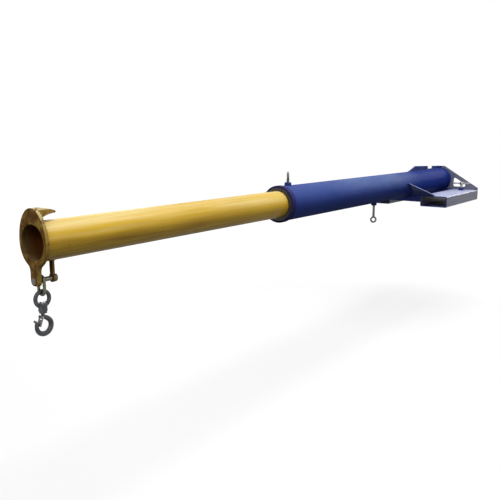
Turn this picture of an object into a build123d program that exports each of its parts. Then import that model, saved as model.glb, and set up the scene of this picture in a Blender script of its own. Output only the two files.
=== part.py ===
"""Forklift jib boom: a telescoping round boom on a two-pocket fork frame, with a swivel hook.

Millimetres, +Z up, +X from the truck towards the hook, +Y to the driver's left.
The origin lies midway between the fork pockets, at their rear mouths, on the top face of the forks.
"""
import os
from math import atan2, cos, degrees, pi, radians, sin, sqrt, tan

from build123d import *

# Clearances between pieces
fit_gap = 0.3
running_gap = 0.05
stop_gap = 3.0
edge_break = 1.5

# Hexagon nuts
nut_crown = 0.94
nut_crown_angle = 30.0

# Round tubes of the boom
outer_tube_od = 168.3
outer_tube_wall = 7.1
outer_tube_length = 2220.0
inner_tube_od = 127.0
inner_tube_wall = 8.0
exposed_length = 1320.0
extend_travel = 350.0

# Mouth of the outer tube
collar_od = 178.0
collar_length = 28.0
collar_edge = 3.0
bush_length = 76.0
bush_lip = 4.0
bush_lip_od = 158.0

# Guide ring on the tail of the inner tube
tail_ring_length = 60.0
tail_screw_d = 10.0
tail_screw_count = 4
tail_screw_phase = 45.0

# Fork pockets
pocket_length = 690.0
pocket_width = 180.0
pocket_height = 73.0
pocket_wall = 6.0
pocket_corner = 9.0
pocket_spacing = 400.0
tube_sink = 15.0

# Plates of the fork frame
rear_plate_thickness = 12.0
rear_plate_apex_half = 30.0
rear_plate_shoulder = 14.0
rear_window_web = 28.0
rear_window_sill = 18.0
rear_window_inset = 22.0
rear_window_corner = 12.0
gusset_thickness = 10.0
gusset_toe = 12.0
gusset_rake = 175.0
gusset_crest = 18.0
tie_thickness = 12.0
front_tie_height = 44.0
ridge_thickness = 12.0
ridge_front_height = 34.0
ridge_rear_height = 18.0
ridge_ramp = 120.0
ridge_setback = 45.0
ridge_notch_width = 110.0
ridge_notch_depth = 12.0
ridge_notch_corner = 8.0
chain_hole_d = 16.0
chain_hole_rise = 13.0
chain_hole_pitch = 150.0
chain_hole_ramp_gap = 45.0
chain_hole_land = 25.0

# Locking eye screws of the boom
eye_screw_d = 16.0
eye_ring_wire = 11.0
eye_ring_od = 42.0
eye_boss_d = 34.0
eye_boss_height = 16.0
eye_boss_chamfer = 3.0
mouth_screw_stem = 10.0
mouth_screw_turn = 36.0
belly_screw_setback = 1075.0
belly_screw_stem = 68.0
belly_screw_turn = -53.0
shoe_d = 24.0
shoe_thickness = 8.0
shoe_socket_d = 12.0
shoe_socket_depth = 3.0

# Fork clamp screws on the pocket roofs
clamp_x = 110.0
clamp_screw_d = 16.0
clamp_nut_flats = 27.0
clamp_nut_height = 20.0
clamp_travel = 16.0
clamp_head_d = 26.0
clamp_head_height = 22.0
clamp_head_gap = 4.0
clamp_foot_d = 30.0
clamp_foot_thickness = 8.0
clamp_socket_d = 11.0
clamp_socket_depth = 3.0
tommy_d = 10.0
tommy_length = 110.0
tommy_knob_d = 15.0
tommy_knob_length = 7.0
tommy_knob_round = 2.3

# Tip of the boom
flange_half_width = 67.0
flange_rise = 105.0
flange_fall = 80.0
flange_thickness = 12.0
tongue_width = 40.0
tongue_fillet = 25.0
tongue_corner = 14.0
pin_edge = 16.0
pin_drop = 120.0
hood_half_width = 22.0
hood_tip = 4.0
hood_droop = 14.0
hood_root = 6.0
hood_length = 66.0
hood_corner = 10.0
lug_gap = 48.0
lug_thickness = 8.0
lug_width = 16.0
lug_eye_radius = 14.0

# Hook pin
pin_d = 16.0
pin_head_d = 22.0
pin_head_thickness = 6.0
pin_tail = 10.0
pin_nut_flats = 24.0
pin_nut_height = 8.0

# Top link of the hook train
link_wire = 10.0
link_inner_width = 20.0
link_inner_length = 50.0
link_setback = 10.0

# Swivel eye
eye_wire = 13.0
eye_inner_radius = 18.0
eye_boss_shank_d = 28.0
eye_seat_rise = 3.4
eye_boss_drop = 8.6
shank_button_d = 20.0
shank_button_height = 7.0
shank_button_round = 2.3

# Swivel hook
shank_d = 14.0
hook_collar_d = 24.0
hook_collar_height = 6.0
hook_bowl_radius = 26.0
hook_neck_bend = 20.0
hook_bowl_half_depth = 8.5
hook_bowl_half_width = 8.0
hook_beak_half_depth = 4.0
hook_beak_half_width = 5.5
hook_bowl_end_angle = 10.0
bowl_steps = 5
hook_flare_radius = 16.0
hook_flare_angle = 65.0

# Safety latch of the hook
latch_pivot_x = 7.5
latch_pivot_drop = 12.0
latch_lug_radius = 5.5
latch_lug_width = 5.0
latch_pin_d = 4.0
latch_cheek = 2.0
latch_inner_width = 14.0
latch_eye_radius = 5.0
latch_tip_radius = 2.2
latch_web = 2.0
latch_web_start = 8.0
latch_pin_stand = 1.0
spring_wire = 1.0
spring_radius = 3.0
spring_pitch = 1.5
spring_turns = 2.0
spring_samples = 96

# Places worked out from the sizes above
outer_radius = outer_tube_od / 2
outer_bore_radius = outer_radius - outer_tube_wall
inner_radius = inner_tube_od / 2
inner_bore_radius = inner_radius - inner_tube_wall
pocket_roof = pocket_wall
pocket_floor = pocket_roof - pocket_height
pocket_inner_face = (pocket_spacing - pocket_width) / 2
pocket_outer_face = (pocket_spacing + pocket_width) / 2
axis_z = pocket_roof - tube_sink + outer_radius
tube_top = axis_z + outer_radius
tube_mouth_x = rear_plate_thickness + outer_tube_length
mouth_x = tube_mouth_x + collar_length
tip_x = mouth_x + exposed_length
bush_back = mouth_x + bush_lip - bush_length
mouth_screw_x = bush_back - stop_gap - shoe_d / 2
belly_screw_x = mouth_x - belly_screw_setback
tail_ring_front = belly_screw_x - shoe_d / 2 - stop_gap - extend_travel
tail_x = tail_ring_front - tail_ring_length
ridge_front = pocket_length - ridge_setback
ridge_top = tube_top + ridge_front_height
rear_top = tube_top + ridge_rear_height
lug_front = tip_x - lug_gap
pin_z = axis_z - pin_drop
train_x = tip_x - link_setback
link_top_z = pin_z + pin_d / 2 + fit_gap
link_bow_radius = (link_inner_width + link_wire) / 2
link_upper_z = link_top_z - link_inner_width / 2
link_lower_z = link_top_z - link_inner_length + link_inner_width / 2
link_wire_z = link_lower_z - link_bow_radius
eye_top_z = link_wire_z + link_wire / 2 + fit_gap
eye_z = eye_top_z - eye_inner_radius
eye_seat_z = eye_z - eye_inner_radius + eye_seat_rise
eye_foot_z = eye_z - eye_inner_radius - eye_wire - eye_boss_drop
hook_collar_z = eye_foot_z - fit_gap
neck_z = hook_collar_z - hook_collar_height
bowl_z = neck_z - sqrt(hook_bowl_radius**2 + 2 * hook_neck_bend * hook_bowl_radius)
latch_pivot_z = neck_z - latch_pivot_drop
shank_top_z = eye_seat_z + shank_button_height / 2 - fit_gap


def across(x):
    """Plane across the boom at x, centred on the boom's axis, with +Y right and +Z up."""
    return Plane(origin=(x, 0, axis_z), x_dir=(0, 1, 0), z_dir=(1, 0, 0))


def level(x, y, z):
    """Level plane at a point, facing up."""
    return Plane(origin=(x, y, z), x_dir=(1, 0, 0), z_dir=(0, 0, 1))


def side_on(x, z):
    """Plane along the boom at a point of its middle, with +X right and +Z up."""
    return Plane(origin=(x, 0, z), x_dir=(1, 0, 0), z_dir=(0, -1, 0))


def keep(piece, label):
    """Label a finished piece and write it to its file."""
    piece.label = label
    export_step(piece, f"parts/{label}.step")


os.makedirs("parts", exist_ok=True)

# Outer tube, with a hole for each locking screw
screw_hole_d = eye_screw_d + 2 * fit_gap
with BuildPart() as outer_tube:
    with BuildSketch(across(rear_plate_thickness)):
        Circle(outer_radius)
        Circle(outer_bore_radius, mode=Mode.SUBTRACT)
    extrude(amount=outer_tube_length)
    with BuildSketch(level(mouth_screw_x, 0, axis_z)):
        Circle(screw_hole_d / 2)
    extrude(amount=outer_radius, mode=Mode.SUBTRACT)
    with BuildSketch(level(belly_screw_x, 0, axis_z)):
        Circle(screw_hole_d / 2)
    extrude(amount=-outer_radius, mode=Mode.SUBTRACT)
keep(outer_tube.part, "outer_tube")

# Collar welded on the mouth of the outer tube
with BuildPart() as mouth_collar:
    with BuildSketch(across(tube_mouth_x)):
        Circle(collar_od / 2)
        Circle(outer_bore_radius, mode=Mode.SUBTRACT)
    extrude(amount=collar_length)
    outer_rims = mouth_collar.edges().filter_by(GeomType.CIRCLE).sort_by(SortBy.RADIUS)[-2:]
    fillet(outer_rims, radius=collar_edge)
keep(mouth_collar.part, "mouth_collar")

# Guide bush inside the mouth, with a lip against the collar's face
with BuildPart() as mouth_bush:
    with BuildSketch(across(mouth_x)):
        Circle(bush_lip_od / 2)
    extrude(amount=bush_lip)
    with BuildSketch(across(mouth_x)):
        Circle(outer_bore_radius - fit_gap)
    extrude(amount=bush_back - mouth_x)
    with BuildSketch(across(mouth_x + bush_lip)):
        Circle(inner_radius + fit_gap)
    extrude(amount=-bush_length, mode=Mode.SUBTRACT)
keep(mouth_bush.part, "mouth_bush")


def screw_boss(x, up):
    """Round boss on the outer tube, bored for a locking screw, above (up=1) or below (up=-1) it."""
    with BuildPart() as boss:
        with BuildSketch(level(x, 0, axis_z)):
            Circle(eye_boss_d / 2)
            Circle(eye_screw_d / 2 + running_gap, mode=Mode.SUBTRACT)
        extrude(amount=up * (outer_radius + eye_boss_height))
        with BuildSketch(across(x - eye_boss_d)):
            Circle(outer_radius + fit_gap)
        extrude(amount=2 * eye_boss_d, mode=Mode.SUBTRACT)
        lip = boss.faces().sort_by(Axis.Z)[-1 if up > 0 else 0].edges().sort_by(SortBy.RADIUS)[-1]
        chamfer(lip, length=eye_boss_chamfer)
    return boss.part


keep(screw_boss(mouth_screw_x, 1), "mouth_screw_boss")
keep(screw_boss(belly_screw_x, -1), "belly_screw_boss")


def fork_pocket(y):
    """Rectangular fork sleeve, open at both ends, with a hole in its roof for the clamp screw."""
    middle_z = (pocket_roof + pocket_floor) / 2
    with BuildPart() as pocket:
        with BuildSketch(Plane(origin=(0, y, middle_z), x_dir=(0, 1, 0), z_dir=(1, 0, 0))):
            RectangleRounded(pocket_width, pocket_height, pocket_corner)
            RectangleRounded(
                pocket_width - 2 * pocket_wall,
                pocket_height - 2 * pocket_wall,
                pocket_corner - pocket_wall,
                mode=Mode.SUBTRACT,
            )
        extrude(amount=pocket_length)
        with BuildSketch(level(clamp_x, y, 0)):
            Circle(clamp_screw_d / 2 + fit_gap)
        extrude(amount=pocket_wall, mode=Mode.SUBTRACT)
    return pocket.part


for side, hand in ((1, "left"), (-1, "right")):
    keep(fork_pocket(side * pocket_spacing / 2), f"fork_pocket_{hand}")


def front_gusset(side):
    """Plate that leans from the roof of one pocket forward and up to the side of the outer tube."""
    gusset_top = axis_z + gusset_crest
    gusset_rise = gusset_top - pocket_roof
    foot = gusset_thickness * sqrt(1 + (gusset_rake / gusset_rise) ** 2)
    reach = pocket_spacing / 2
    with BuildPart() as gusset:
        with BuildSketch(side_on(pocket_length, pocket_roof)):
            with BuildLine():
                Polyline(
                    (-foot, 0),
                    (0, 0),
                    (gusset_rake, gusset_rise),
                    (gusset_rake - foot, gusset_rise),
                    close=True,
                )
            make_face()
        extrude(amount=-side * reach)
        with BuildSketch(Plane.YZ):
            with BuildLine():
                Polyline(
                    (side * (outer_radius + gusset_toe), gusset_top),
                    (side * reach, pocket_roof + gusset_toe),
                    (side * reach, gusset_top),
                    close=True,
                )
            make_face()
        extrude(amount=pocket_length + gusset_rake, mode=Mode.SUBTRACT)
        with BuildSketch(across(rear_plate_thickness)):
            Circle(outer_radius + fit_gap)
        extrude(amount=outer_tube_length, mode=Mode.SUBTRACT)
    return gusset.part


for side, hand in ((1, "left"), (-1, "right")):
    keep(front_gusset(side), f"front_gusset_{hand}")

# Rear plate: an A-shaped plate that closes the tube and stands on both pockets, with two windows
slope_run = pocket_outer_face - rear_plate_apex_half
slope_rise = rear_top - (pocket_roof + rear_plate_shoulder)
slope_drop = rear_window_web * sqrt(1 + (slope_rise / slope_run) ** 2)
window_inner = outer_radius + rear_window_inset
window_sill = pocket_roof + rear_window_sill
window_peak = rear_top - slope_drop - (window_inner - rear_plate_apex_half) * slope_rise / slope_run
window_outer = window_inner + (window_peak - window_sill) * slope_run / slope_rise
with BuildPart() as rear_plate:
    with BuildSketch(Plane.YZ):
        with BuildLine():
            Polyline(
                (-rear_plate_apex_half, rear_top),
                (rear_plate_apex_half, rear_top),
                (pocket_outer_face, pocket_roof + rear_plate_shoulder),
                (pocket_outer_face, pocket_roof),
                (-pocket_outer_face, pocket_roof),
                (-pocket_outer_face, pocket_roof + rear_plate_shoulder),
                close=True,
            )
        make_face()
    extrude(amount=rear_plate_thickness)
    for side in (1, -1):
        with BuildSketch(Plane.YZ) as window:
            with BuildLine():
                Polyline(
                    (side * window_inner, window_sill),
                    (side * window_outer, window_sill),
                    (side * window_inner, window_peak),
                    close=True,
                )
            make_face()
            fillet(window.vertices(), radius=rear_window_corner)
        extrude(amount=rear_plate_thickness, mode=Mode.SUBTRACT)
keep(rear_plate.part, "rear_plate")


def pocket_tie(x, thickness, height):
    """Plate between the pockets, down from the level of their roofs, hollowed to clear the outer tube."""
    with BuildPart() as tie:
        with BuildSketch(Plane.YZ.offset(x)):
            with Locations((0, pocket_roof - height / 2)):
                Rectangle(2 * pocket_inner_face, height)
        extrude(amount=thickness)
        with BuildSketch(across(rear_plate_thickness)):
            Circle(outer_radius + fit_gap)
        extrude(amount=outer_tube_length, mode=Mode.SUBTRACT)
    return tie.part


keep(pocket_tie(0, rear_plate_thickness, pocket_height), "rear_tie")
keep(pocket_tie(pocket_length - tie_thickness, tie_thickness, front_tie_height), "front_tie")

# Ridge rib along the top of the outer tube, with a ramped nose, two safety chain holes and a notch
ramp_x = ridge_front - ridge_ramp
hole_xs = [ramp_x - chain_hole_ramp_gap - step * chain_hole_pitch for step in range(2)]
notch_front = hole_xs[-1] - chain_hole_d / 2 - chain_hole_land
notch_x = notch_front - ridge_notch_width / 2
notch_floor = rear_top - ridge_notch_depth
with BuildPart() as ridge_rib:
    with BuildSketch(side_on(0, 0)) as rib_outline:
        with BuildLine():
            Polyline(
                (rear_plate_thickness, tube_top),
                (ridge_front, tube_top),
                (ramp_x, ridge_top),
                (rear_plate_thickness, rear_top),
                close=True,
            )
        make_face()
        with Locations((notch_x, notch_floor + ridge_front_height / 2)):
            Rectangle(ridge_notch_width, ridge_front_height, mode=Mode.SUBTRACT)
        notch_corners = rib_outline.vertices().sort_by_distance((notch_x, 0, notch_floor))[:2]
        fillet(notch_corners, radius=ridge_notch_corner)
        with Locations([(hole_x, tube_top + chain_hole_rise) for hole_x in hole_xs]):
            Circle(chain_hole_d / 2, mode=Mode.SUBTRACT)
    extrude(amount=ridge_thickness / 2, both=True)
keep(ridge_rib.part, "ridge_rib")


def eye_screw(x, up, stem, turn):
    """Screw with a ring handle, standing out of its boss by the stem, above or below the tube."""
    shoe_back = inner_radius + fit_gap + shoe_thickness
    tip_r = shoe_back - shoe_socket_depth + fit_gap
    ring_r = outer_radius + eye_boss_height + stem + eye_ring_od / 2
    ring_radius = (eye_ring_od - eye_ring_wire) / 2
    along = Vector(cos(radians(turn)), sin(radians(turn)), 0)
    ring_centre = Vector(x, 0, axis_z + up * ring_r)
    with BuildPart() as screw:
        with BuildSketch(level(x, 0, axis_z + up * tip_r)):
            Circle(shoe_socket_d / 2 - running_gap)
        extrude(amount=up * (shoe_socket_depth + fit_gap))
        with BuildSketch(level(x, 0, axis_z + up * (shoe_back + fit_gap))):
            Circle(eye_screw_d / 2)
        extrude(amount=up * (ring_r - ring_radius - shoe_back - fit_gap))
        with BuildSketch(Plane(origin=ring_centre + along * ring_radius, x_dir=along, z_dir=(0, 0, 1))):
            Circle(eye_ring_wire / 2)
        revolve(axis=Axis(ring_centre, Vector(-along.Y, along.X, 0)))
    return screw.part


def screw_shoe(x, up):
    """Pressure shoe on the tip of a locking screw, hollowed to the inner tube."""
    seat_r = inner_radius + fit_gap
    with BuildPart() as shoe:
        with BuildSketch(level(x, 0, axis_z)):
            Circle(shoe_d / 2)
        extrude(amount=up * (seat_r + shoe_thickness))
        with BuildSketch(across(x - shoe_d)):
            Circle(seat_r)
        extrude(amount=2 * shoe_d, mode=Mode.SUBTRACT)
        with BuildSketch(level(x, 0, axis_z + up * (seat_r + shoe_thickness))):
            Circle(shoe_socket_d / 2)
        extrude(amount=-up * shoe_socket_depth, mode=Mode.SUBTRACT)
    return shoe.part


keep(eye_screw(mouth_screw_x, 1, mouth_screw_stem, mouth_screw_turn), "mouth_eye_screw")
keep(screw_shoe(mouth_screw_x, 1), "mouth_screw_shoe")
keep(eye_screw(belly_screw_x, -1, belly_screw_stem, belly_screw_turn), "belly_eye_screw")
keep(screw_shoe(belly_screw_x, -1), "belly_screw_shoe")


def hex_nut(seat, flats, bore_d, height):
    """Hexagon nut standing on a plane, with the corners of its outer face turned off."""
    crown_radius = nut_crown * flats / 2
    with BuildPart() as nut:
        with BuildSketch(seat):
            RegularPolygon(flats / 2, 6, major_radius=False)
        extrude(amount=height)
        with Locations(seat):
            Cone(
                crown_radius + height / tan(radians(nut_crown_angle)),
                crown_radius,
                height,
                align=(Align.CENTER, Align.CENTER, Align.MIN),
                mode=Mode.INTERSECT,
            )
        with BuildSketch(seat):
            Circle(bore_d / 2 + running_gap)
        extrude(amount=height, mode=Mode.SUBTRACT)
    return nut.part


def clamp_foot(y):
    """Round pressure foot of a fork clamp screw, under the roof of a pocket."""
    with BuildPart() as foot:
        with BuildSketch(level(clamp_x, y, -fit_gap)):
            Circle(clamp_foot_d / 2)
        extrude(amount=-clamp_foot_thickness)
        rim = foot.faces().sort_by(Axis.Z)[0].edges()
        chamfer(rim, length=edge_break)
        with BuildSketch(level(clamp_x, y, -fit_gap)):
            Circle(clamp_socket_d / 2)
        extrude(amount=-clamp_socket_depth, mode=Mode.SUBTRACT)
    return foot.part


clamp_head_z = pocket_roof + clamp_nut_height + clamp_travel + clamp_head_gap
tommy_z = clamp_head_z + clamp_head_height / 2


def clamp_screw(y):
    """Fork clamp screw with a round head, cross-drilled for its tommy bar."""
    with BuildPart() as screw:
        with BuildSketch(level(clamp_x, y, -clamp_socket_depth)):
            Circle(clamp_socket_d / 2 - running_gap)
        extrude(amount=clamp_socket_depth)
        with BuildSketch(level(clamp_x, y, 0)):
            Circle(clamp_screw_d / 2)
        extrude(amount=clamp_head_z)
        with BuildSketch(level(clamp_x, y, clamp_head_z)):
            Circle(clamp_head_d / 2)
        extrude(amount=clamp_head_height)
        chamfer(screw.faces().sort_by(Axis.Z)[-1].edges(), length=edge_break)
        with BuildSketch(Plane(origin=(clamp_x, y, tommy_z), x_dir=(1, 0, 0), z_dir=(0, 1, 0))):
            Circle(tommy_d / 2 + running_gap)
        extrude(amount=clamp_head_d, both=True, mode=Mode.SUBTRACT)
    return screw.part


def tommy_bar(y):
    """Cross bar of a clamp screw, with a swollen knob at each end."""
    half = tommy_length / 2
    with BuildPart() as bar:
        with BuildSketch(Plane(origin=(clamp_x, y, tommy_z), x_dir=(1, 0, 0), z_dir=(0, 1, 0))):
            Circle(tommy_d / 2)
        extrude(amount=half, both=True)
        for end in (1, -1):
            knob_y = y + end * (half - tommy_knob_length)
            with BuildSketch(Plane(origin=(clamp_x, knob_y, tommy_z), x_dir=(1, 0, 0), z_dir=(0, end, 0))):
                Circle(tommy_knob_d / 2)
            extrude(amount=tommy_knob_length)
        rims = bar.edges().filter_by(GeomType.CIRCLE).group_by(SortBy.RADIUS)[-1]
        fillet(rims, radius=tommy_knob_round)
    return bar.part


nuts = []
for side in (1, -1):
    nut_seat = level(clamp_x, side * pocket_spacing / 2, pocket_roof)
    nuts.append(hex_nut(nut_seat, clamp_nut_flats, clamp_screw_d, clamp_nut_height))
keep(Compound(children=nuts), "clamp_nuts")
for side, hand in ((1, "left"), (-1, "right")):
    clamp_y = side * pocket_spacing / 2
    keep(clamp_foot(clamp_y), f"clamp_foot_{hand}")
    keep(clamp_screw(clamp_y), f"clamp_screw_{hand}")
    keep(tommy_bar(clamp_y), f"tommy_bar_{hand}")

# Inner tube
with BuildPart() as inner_tube:
    with BuildSketch(across(tail_x)):
        Circle(inner_radius)
        Circle(inner_bore_radius, mode=Mode.SUBTRACT)
    extrude(amount=tip_x - tail_x)
keep(inner_tube.part, "inner_tube")

# Guide ring on the tail of the inner tube, drilled for its set screws
tail_screw_x = tail_x + tail_ring_length / 2
ring_radius = outer_bore_radius - fit_gap
with BuildPart() as tail_ring:
    with BuildSketch(across(tail_x)):
        Circle(ring_radius)
        Circle(inner_radius + fit_gap, mode=Mode.SUBTRACT)
    extrude(amount=tail_ring_length)
    for turn in range(tail_screw_count):
        way = radians(tail_screw_phase + turn * 360 / tail_screw_count)
        out = (0, cos(way), sin(way))
        with BuildSketch(Plane(origin=(tail_screw_x, 0, axis_z), x_dir=(1, 0, 0), z_dir=out)):
            Circle(tail_screw_d / 2 + running_gap)
        extrude(amount=outer_radius, mode=Mode.SUBTRACT)
keep(tail_ring.part, "tail_ring")

# Set screws that lock the guide ring on the inner tube
set_screws = []
for turn in range(tail_screw_count):
    way = radians(tail_screw_phase + turn * 360 / tail_screw_count)
    out = (0, cos(way), sin(way))
    seat = inner_radius + fit_gap
    start = (tail_screw_x, seat * cos(way), axis_z + seat * sin(way))
    with BuildPart() as set_screw:
        with BuildSketch(Plane(origin=start, x_dir=(1, 0, 0), z_dir=out)):
            Circle(tail_screw_d / 2)
        extrude(amount=ring_radius - seat - fit_gap)
    set_screws.append(set_screw.part)
keep(Compound(children=set_screws), "tail_set_screws")

# Tip flange: an oval plate with an open bore, drawn down into a tongue for the hook pin
tongue_bottom = pin_drop + pin_edge
with BuildPart() as tip_flange:
    with BuildSketch(across(tip_x)) as flange_outline:
        Ellipse(flange_half_width, flange_rise)
        with Locations((0, -flange_rise / 2)):
            Rectangle(2 * flange_half_width, flange_rise, mode=Mode.SUBTRACT)
        Ellipse(flange_half_width, flange_fall)
        with Locations((0, -tongue_bottom / 2)):
            Rectangle(tongue_width, tongue_bottom)
        shoulders = flange_outline.vertices().filter_by_position(Axis.Y, -flange_fall, -flange_fall / 2)
        fillet(shoulders, radius=tongue_fillet)
        toes = flange_outline.vertices().group_by(Axis.Y)[0]
        fillet(toes, radius=tongue_corner)
        Circle(inner_bore_radius, mode=Mode.SUBTRACT)
        with Locations((0, -pin_drop)):
            Circle(pin_d / 2 + running_gap, mode=Mode.SUBTRACT)
    extrude(amount=flange_thickness)
keep(tip_flange.part, "tip_flange")

# Hood: a horn that runs back from the top of the flange and droops to a thin tip, hollowed over the tube
hood_back = tip_x - hood_length
hood_end = flange_rise - hood_droop
hood_hollow = hood_end - hood_tip - inner_radius
hood_crown_radius = (hood_length**2 + hood_droop**2) / (2 * hood_droop)
with BuildPart() as tip_hood:
    with BuildSketch(across(tip_x)):
        Ellipse(flange_half_width, flange_rise)
        with Locations((0, flange_rise / 2)):
            Rectangle(2 * hood_half_width, flange_rise, mode=Mode.INTERSECT)
        Circle(inner_radius + fit_gap, mode=Mode.SUBTRACT)
    extrude(amount=-hood_length)
    with BuildSketch(side_on(hood_back, axis_z + inner_radius)):
        Ellipse(hood_length - hood_root, hood_hollow)
    extrude(amount=hood_half_width, both=True, mode=Mode.SUBTRACT)
    with BuildSketch(side_on(hood_back, axis_z)):
        with Locations((0, inner_radius / 2)):
            Rectangle(2 * (hood_length - hood_root), inner_radius)
    extrude(amount=hood_half_width, both=True, mode=Mode.SUBTRACT)
    with BuildSketch(side_on(tip_x, axis_z)):
        with BuildLine():
            crown = RadiusArc((0, flange_rise), (-hood_length, hood_end), -hood_crown_radius)
            Polyline(crown @ 1, (-hood_length, 2 * flange_rise), (0, 2 * flange_rise), crown @ 0)
        make_face()
    extrude(amount=hood_half_width, both=True, mode=Mode.SUBTRACT)
    fillet(tip_hood.edges().filter_by(Axis.Z).group_by(Axis.X)[0], radius=hood_corner)
keep(tip_hood.part, "tip_hood")

# Rear lug: a strap under the inner tube that carries the far end of the hook pin
with BuildPart() as tip_rear_lug:
    with BuildSketch(across(lug_front)):
        with Locations((0, -pin_drop / 2)):
            Rectangle(lug_width, pin_drop)
        with Locations((0, -pin_drop)):
            Circle(lug_eye_radius)
            Circle(pin_d / 2 + running_gap, mode=Mode.SUBTRACT)
        Circle(inner_radius + fit_gap, mode=Mode.SUBTRACT)
    extrude(amount=-lug_thickness)
keep(tip_rear_lug.part, "tip_rear_lug")

# Hook pin through the tongue and the lug, headed in front and nutted behind
pin_front = tip_x + flange_thickness
pin_back = lug_front - lug_thickness
with BuildPart() as hook_pin:
    with BuildSketch(Plane(origin=(pin_back - pin_tail, 0, pin_z), x_dir=(0, 1, 0), z_dir=(1, 0, 0))):
        Circle(pin_d / 2)
    extrude(amount=pin_front - pin_back + pin_tail)
    with BuildSketch(Plane(origin=(pin_front, 0, pin_z), x_dir=(0, 1, 0), z_dir=(1, 0, 0))):
        Circle(pin_head_d / 2)
    extrude(amount=pin_head_thickness)
    chamfer(hook_pin.faces().sort_by(Axis.X)[-1].edges(), length=edge_break)
keep(hook_pin.part, "hook_pin")

pin_nut_seat = Plane(origin=(pin_back, 0, pin_z), x_dir=(0, 1, 0), z_dir=(-1, 0, 0))
keep(hex_nut(pin_nut_seat, pin_nut_flats, pin_d, pin_nut_height), "hook_pin_nut")

# Top link: an oval chain link across the boom, hanging on the hook pin
with BuildPart() as top_link:
    with BuildLine(Plane(origin=(train_x, 0, 0), x_dir=(0, 1, 0), z_dir=(1, 0, 0))) as link_path:
        upper = CenterArc((0, link_upper_z), link_bow_radius, 0, 180)
        lower = CenterArc((0, link_lower_z), link_bow_radius, 180, 180)
        Line(upper @ 1, lower @ 0)
        Line(lower @ 1, upper @ 0)
    with BuildSketch(level(train_x, link_bow_radius, link_upper_z)):
        Circle(link_wire / 2)
    sweep(path=link_path.wire())
keep(top_link.part, "top_link")

# Swivel eye: a forged ring along the boom, with a boss that the hook turns in
eye_ring_radius = eye_inner_radius + eye_wire / 2
with BuildPart() as swivel_eye:
    with BuildSketch(Plane(origin=(train_x + eye_ring_radius, 0, eye_z), x_dir=(1, 0, 0), z_dir=(0, 0, 1))):
        Circle(eye_wire / 2)
    revolve(axis=Axis((train_x, 0, eye_z), (0, 1, 0)))
    with BuildSketch(level(train_x, 0, eye_foot_z)):
        Circle(eye_boss_shank_d / 2)
    extrude(amount=eye_seat_z - eye_foot_z)
    with BuildSketch(level(train_x, 0, eye_seat_z)):
        Circle(shank_button_d / 2 + fit_gap)
    extrude(amount=eye_z - eye_seat_z, mode=Mode.SUBTRACT)
    with BuildSketch(level(train_x, 0, eye_foot_z)):
        Circle(shank_d / 2 + running_gap)
    extrude(amount=eye_seat_z - eye_foot_z, mode=Mode.SUBTRACT)
keep(swivel_eye.part, "swivel_eye")

# Button on the hook's shank, inside the eye
with BuildPart() as shank_button:
    with BuildSketch(level(train_x, 0, eye_seat_z + fit_gap)):
        Circle(shank_button_d / 2)
    extrude(amount=shank_button_height)
    fillet(shank_button.faces().sort_by(Axis.Z)[-1].edges(), radius=shank_button_round)
    with BuildSketch(level(train_x, 0, eye_seat_z)):
        Circle(shank_d / 2 + running_gap)
    extrude(amount=shank_button_height / 2, mode=Mode.SUBTRACT)
keep(shank_button.part, "shank_button")

# Swivel hook: a round shank that swells through the bowl and tapers to a flared beak
neck_turn = degrees(atan2(neck_z - bowl_z, hook_neck_bend))
flare_reach = hook_bowl_radius + hook_flare_radius
flare_x = flare_reach * cos(radians(hook_bowl_end_angle))
flare_z = bowl_z + flare_reach * sin(radians(hook_bowl_end_angle))
with BuildLine(side_on(train_x, 0), mode=Mode.PRIVATE):
    neck_bend = CenterArc((-hook_neck_bend, neck_z), hook_neck_bend, 0, -neck_turn)
    bowl = CenterArc((0, bowl_z), hook_bowl_radius, 180 - neck_turn, 180 + neck_turn + hook_bowl_end_angle)
    flare = CenterArc((flare_x, flare_z), hook_flare_radius, 180 + hook_bowl_end_angle, -hook_flare_angle)


def swell(start, middle, end, share):
    """Half size of the hook's section, which is largest halfway along the hook."""
    rise = sin(pi * share)
    near = start if share < 0.5 else end
    return near + (middle - near) * rise


hook_stations = [(neck_bend, 0.0), (neck_bend, 1.0)]
hook_stations += [(bowl, step / bowl_steps) for step in range(1, bowl_steps + 1)]
hook_stations += [(flare, 1.0)]
last_station = len(hook_stations) - 1
with BuildPart() as hook:
    for place, (curve, along) in enumerate(hook_stations):
        share = place / last_station
        with BuildSketch(Plane(origin=curve @ along, x_dir=(0, 1, 0), z_dir=curve % along)):
            Ellipse(
                swell(shank_d / 2, hook_bowl_half_width, hook_beak_half_width, share),
                swell(shank_d / 2, hook_bowl_half_depth, hook_beak_half_depth, share),
            )
    loft()
    with BuildSketch(level(train_x, 0, neck_z)):
        Circle(hook_collar_d / 2)
    extrude(amount=hook_collar_height)
    with BuildSketch(level(train_x, 0, neck_z)):
        Circle(shank_d / 2)
    extrude(amount=shank_top_z - neck_z)
    with BuildSketch(side_on(train_x + latch_pivot_x, latch_pivot_z)):
        Circle(latch_lug_radius)
    extrude(amount=latch_lug_width / 2, both=True)
    with BuildSketch(side_on(train_x + latch_pivot_x, latch_pivot_z)):
        Circle(latch_pin_d / 2 + running_gap)
    extrude(amount=latch_lug_width, both=True, mode=Mode.SUBTRACT)
keep(hook.part, "hook")

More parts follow.
